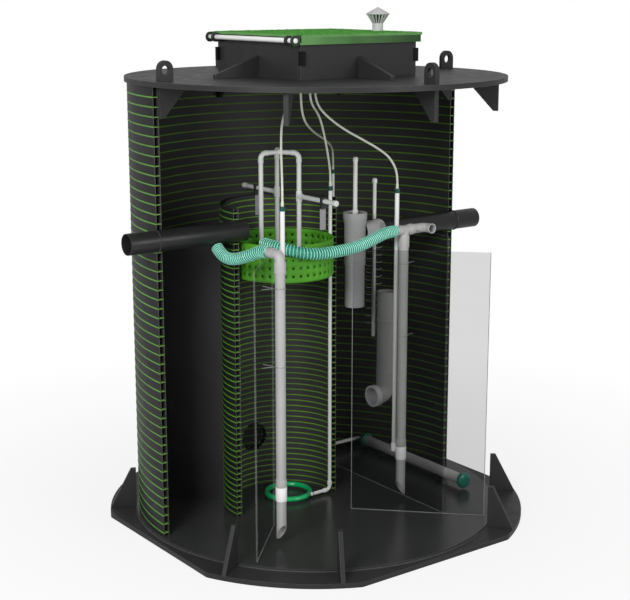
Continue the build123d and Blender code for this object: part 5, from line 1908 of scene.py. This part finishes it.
    def build(self) -> None:
        """Makes every airlift piece."""
        self.risers()
        self.fittings()
        self.air_side()
        self.clips()


@dataclass
class AirSupply:
    """The ring and tube aerators on the floor, their air pipes and feet, and the couplers and glands of the hoses."""

    pipe: float = 0.010
    pipe_top: float = 1.788
    bend: float = 0.024
    ring_centre: tuple[float, float, float] = (-0.119, 0.103, 0.060)
    ring_radius: float = 0.123
    ring_tube: float = 0.015
    tube_x: float = 0.755
    tube_z: float = 0.090
    cap_rib: float = 0.0437
    floor: float = 0.038

    def air_pipe(self, points: Points, up: Array) -> Surface:
        """A bent white air pipe along straight runs, the second run level."""
        path = bent(*points[:3], self.bend)
        if len(points) > 3:
            path = np.concatenate([path[:-1], bent(*points[1:4], self.bend)[1:]])
        return rod_along(path, self.pipe, up=up, sides=32)

    def ring_aerator(self) -> None:
        """Makes the green ring with its clamp and strap, and its air pipe."""
        x, y, z = self.ring_centre
        ring = hoop(self.ring_centre, self.ring_radius, self.ring_tube, steps=120, sides=28)
        make_piece("green_ring", ring, [RING_GREEN], Slot.RING_GREEN, ["ring_aerator"])
        side = math.radians(-66)
        join = np.array((x + self.ring_radius * math.cos(side), y + self.ring_radius * math.sin(side), z))
        pipe = self.air_pipe([(0.095, -0.004, self.pipe_top), (0.095, -0.004, z), join], np.array((0.1, 1.0, 0.0)))
        corner = np.array((0.095, -0.004, z))
        way = (join - corner) / np.linalg.norm(join - corner)
        collars = [
            bar(corner + (0, 0, 0.024), corner + (0, 0, 0.050), 0.013, up=Y_AXIS),
            bar(corner + 0.024 * way, corner + 0.046 * way, 0.013),
        ]
        make_piece("ring_pipe", joined([pipe, *collars]), [PIPE_WHITE], Slot.PIPE_WHITE, ["ring_air_pipe"])
        tangent = np.array((-math.sin(side), math.cos(side), 0.0))
        clamp = [hoop(join + tangent * d, self.ring_tube + 0.0008, 0.0022, tangent, 28, 8) for d in (-0.012, 0.012)]
        strap = joined([hoop(join - way * 0.040, 0.0108, 0.0022, way, 24, 8), *clamp])
        make_piece("ring_straps", strap, [FOOT_BLACK], Slot.FOOT_BLACK)

    def tube_aerator(self) -> None:
        """Makes the grey membrane tube with its clamp bands, its ribbed teal caps and its air pipe."""
        x, z = self.tube_x, self.tube_z
        tube = bar((x, -0.400, z), (x, 0.467, z), 0.030, 0.002, 48)
        bands = [hoop((x, y, z), 0.0296, 0.0022, Y_AXIS, 48, 8) for y in (-0.385, 0.452)]
        make_piece("membrane_tube", joined([tube, *bands]), [MEMBRANE], Slot.PIPE_GREY, ["tube_aerator"])
        caps = []
        for start, end in ((-0.400, -0.435), (0.467, 0.502)):
            outline = [
                (0, 0), (0, 0.037), (0.003, 0.043), (0.007, 0.043), (0.009, 0.045), (0.024, 0.045), (0.028, 0.042),
                (0.033, 0.034), (0.035, 0.026), (0.035, 0),
            ]
            profile = softened(outline, 0.002, closed=False)
            caps.append(carried(profile, straight((x, start, z), (x, end, z)), 48, closed=False, up=Z_AXIS))
            way = math.copysign(1, end - start)
            for a in np.arange(20) * math.pi / 10:
                across, height = x + self.cap_rib * math.cos(a), z + self.cap_rib * math.sin(a)
                foot, tip = ((across, start + way * d, height) for d in (0.009, 0.025))
                caps.append(bar(foot, tip, 0.0022, 0.0008, 8))
        make_piece("ribbed_caps", joined(caps), [CAP_TEAL], Slot.FITTING_TEAL, ["tube_caps"])
        points = [(0.535, 0.548, self.pipe_top), (0.535, 0.548, z), (x, 0.548, z), (x, 0.502, z)]
        pipe = self.air_pipe(points, np.array((0.0, 1.0, 0.1)))
        make_piece("tube_pipe", pipe, [PIPE_WHITE], Slot.PIPE_WHITE, ["tube_air_pipe"])

    def feet(self) -> None:
        """Makes the ring's round feet and the tube's two saddles, each saddle hollowed by the tube it carries."""
        x, y, z = self.ring_centre
        parts = []
        for number in range(3):
            angle = math.radians(90 + 120 * number)
            place = (x + self.ring_radius * math.cos(angle), y + self.ring_radius * math.sin(angle), self.floor)
            parts.append(turned_solid([(0, 0), (0, 0.012), (0.012, 0.010), (0.012, 0)], place, 0.001, 24))
        cradle = round_outline((self.tube_x, self.tube_z), 0.0302, 25, -33, -114)
        for start in (-0.230, 0.290):
            outline = [(self.tube_x - 0.025, self.floor), (self.tube_x + 0.025, self.floor), *cradle]
            flat = plate(outline, -start - 0.040, -start)
            parts.append(flat.upright())
        make_piece("black_feet", joined(parts), [FOOT_BLACK], Slot.FOOT_BLACK, ["aerator_feet"], bevel=0.001)

    def couplers(self) -> None:
        """Makes the ribbed teal coupler on each air pipe and the gland of each hose under the roof."""
        outline = [
            (0, 0), (0, 0.0135), (0.003, 0.015), (0.009, 0.015), (0.010, 0.0138), (0.013, 0.0138), (0.014, 0.015),
        ]
        outline += [(0.022, 0.0145), (0.024, 0.0115), (0.024, 0)]
        sleeve = [(0.024, 0), (0.024, 0.0085), (0.034, 0.0078), (0.048, 0.0072), (0.048, 0)]
        places = ((-0.529, -0.432), (0.535, 0.548), (0.095, -0.004), (0.327, -0.295))
        couplers = [turned_solid(outline, (x, y, self.pipe_top), 0.0008, 28) for x, y in places]
        couplers += [turned_solid(sleeve, (x, y, self.pipe_top), 0.0008, 28, 1) for x, y in places]
        make_piece("hose_couplers", joined(couplers), [TEAL, AIR_TUBING], Slot.FITTING_TEAL, ["air_couplers"])
        gland = [(0, 0), (0, 0.0085), (0.004, 0.0095), (0.008, 0.0095), (0.010, 0.011), (0.020, 0.011), (0.020, 0)]
        places = ((-0.335, -0.215), (-0.337, -0.325), (-0.287, -0.335), (-0.237, -0.310))
        glands = [turned_solid(gland, (x, y, 2.373), 0.0006, 24) for x, y in places]
        make_piece("roof_glands", joined(glands), [TEAL], Slot.FITTING_TEAL, ["hose_glands"])

    def build(self) -> None:
        """Makes both aerators with their pipes and feet, and the fittings of the hoses."""
        self.ring_aerator()
        self.tube_aerator()
        self.feet()
        self.couplers()


def main() -> None:
    """Builds the part and its studio."""
    logging.basicConfig(level=logging.INFO, format="%(message)s")
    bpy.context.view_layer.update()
    for assembly in (
        Studio, Hoses, TankShell, AccessNeck, Lid, InnerChamber, Partitions, DrainLine, Airlifts, AirSupply,
    ):
        LOG.info("%s", assembly.__name__)
        assembly().build()
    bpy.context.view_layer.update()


if __name__ == "__main__":
    main()
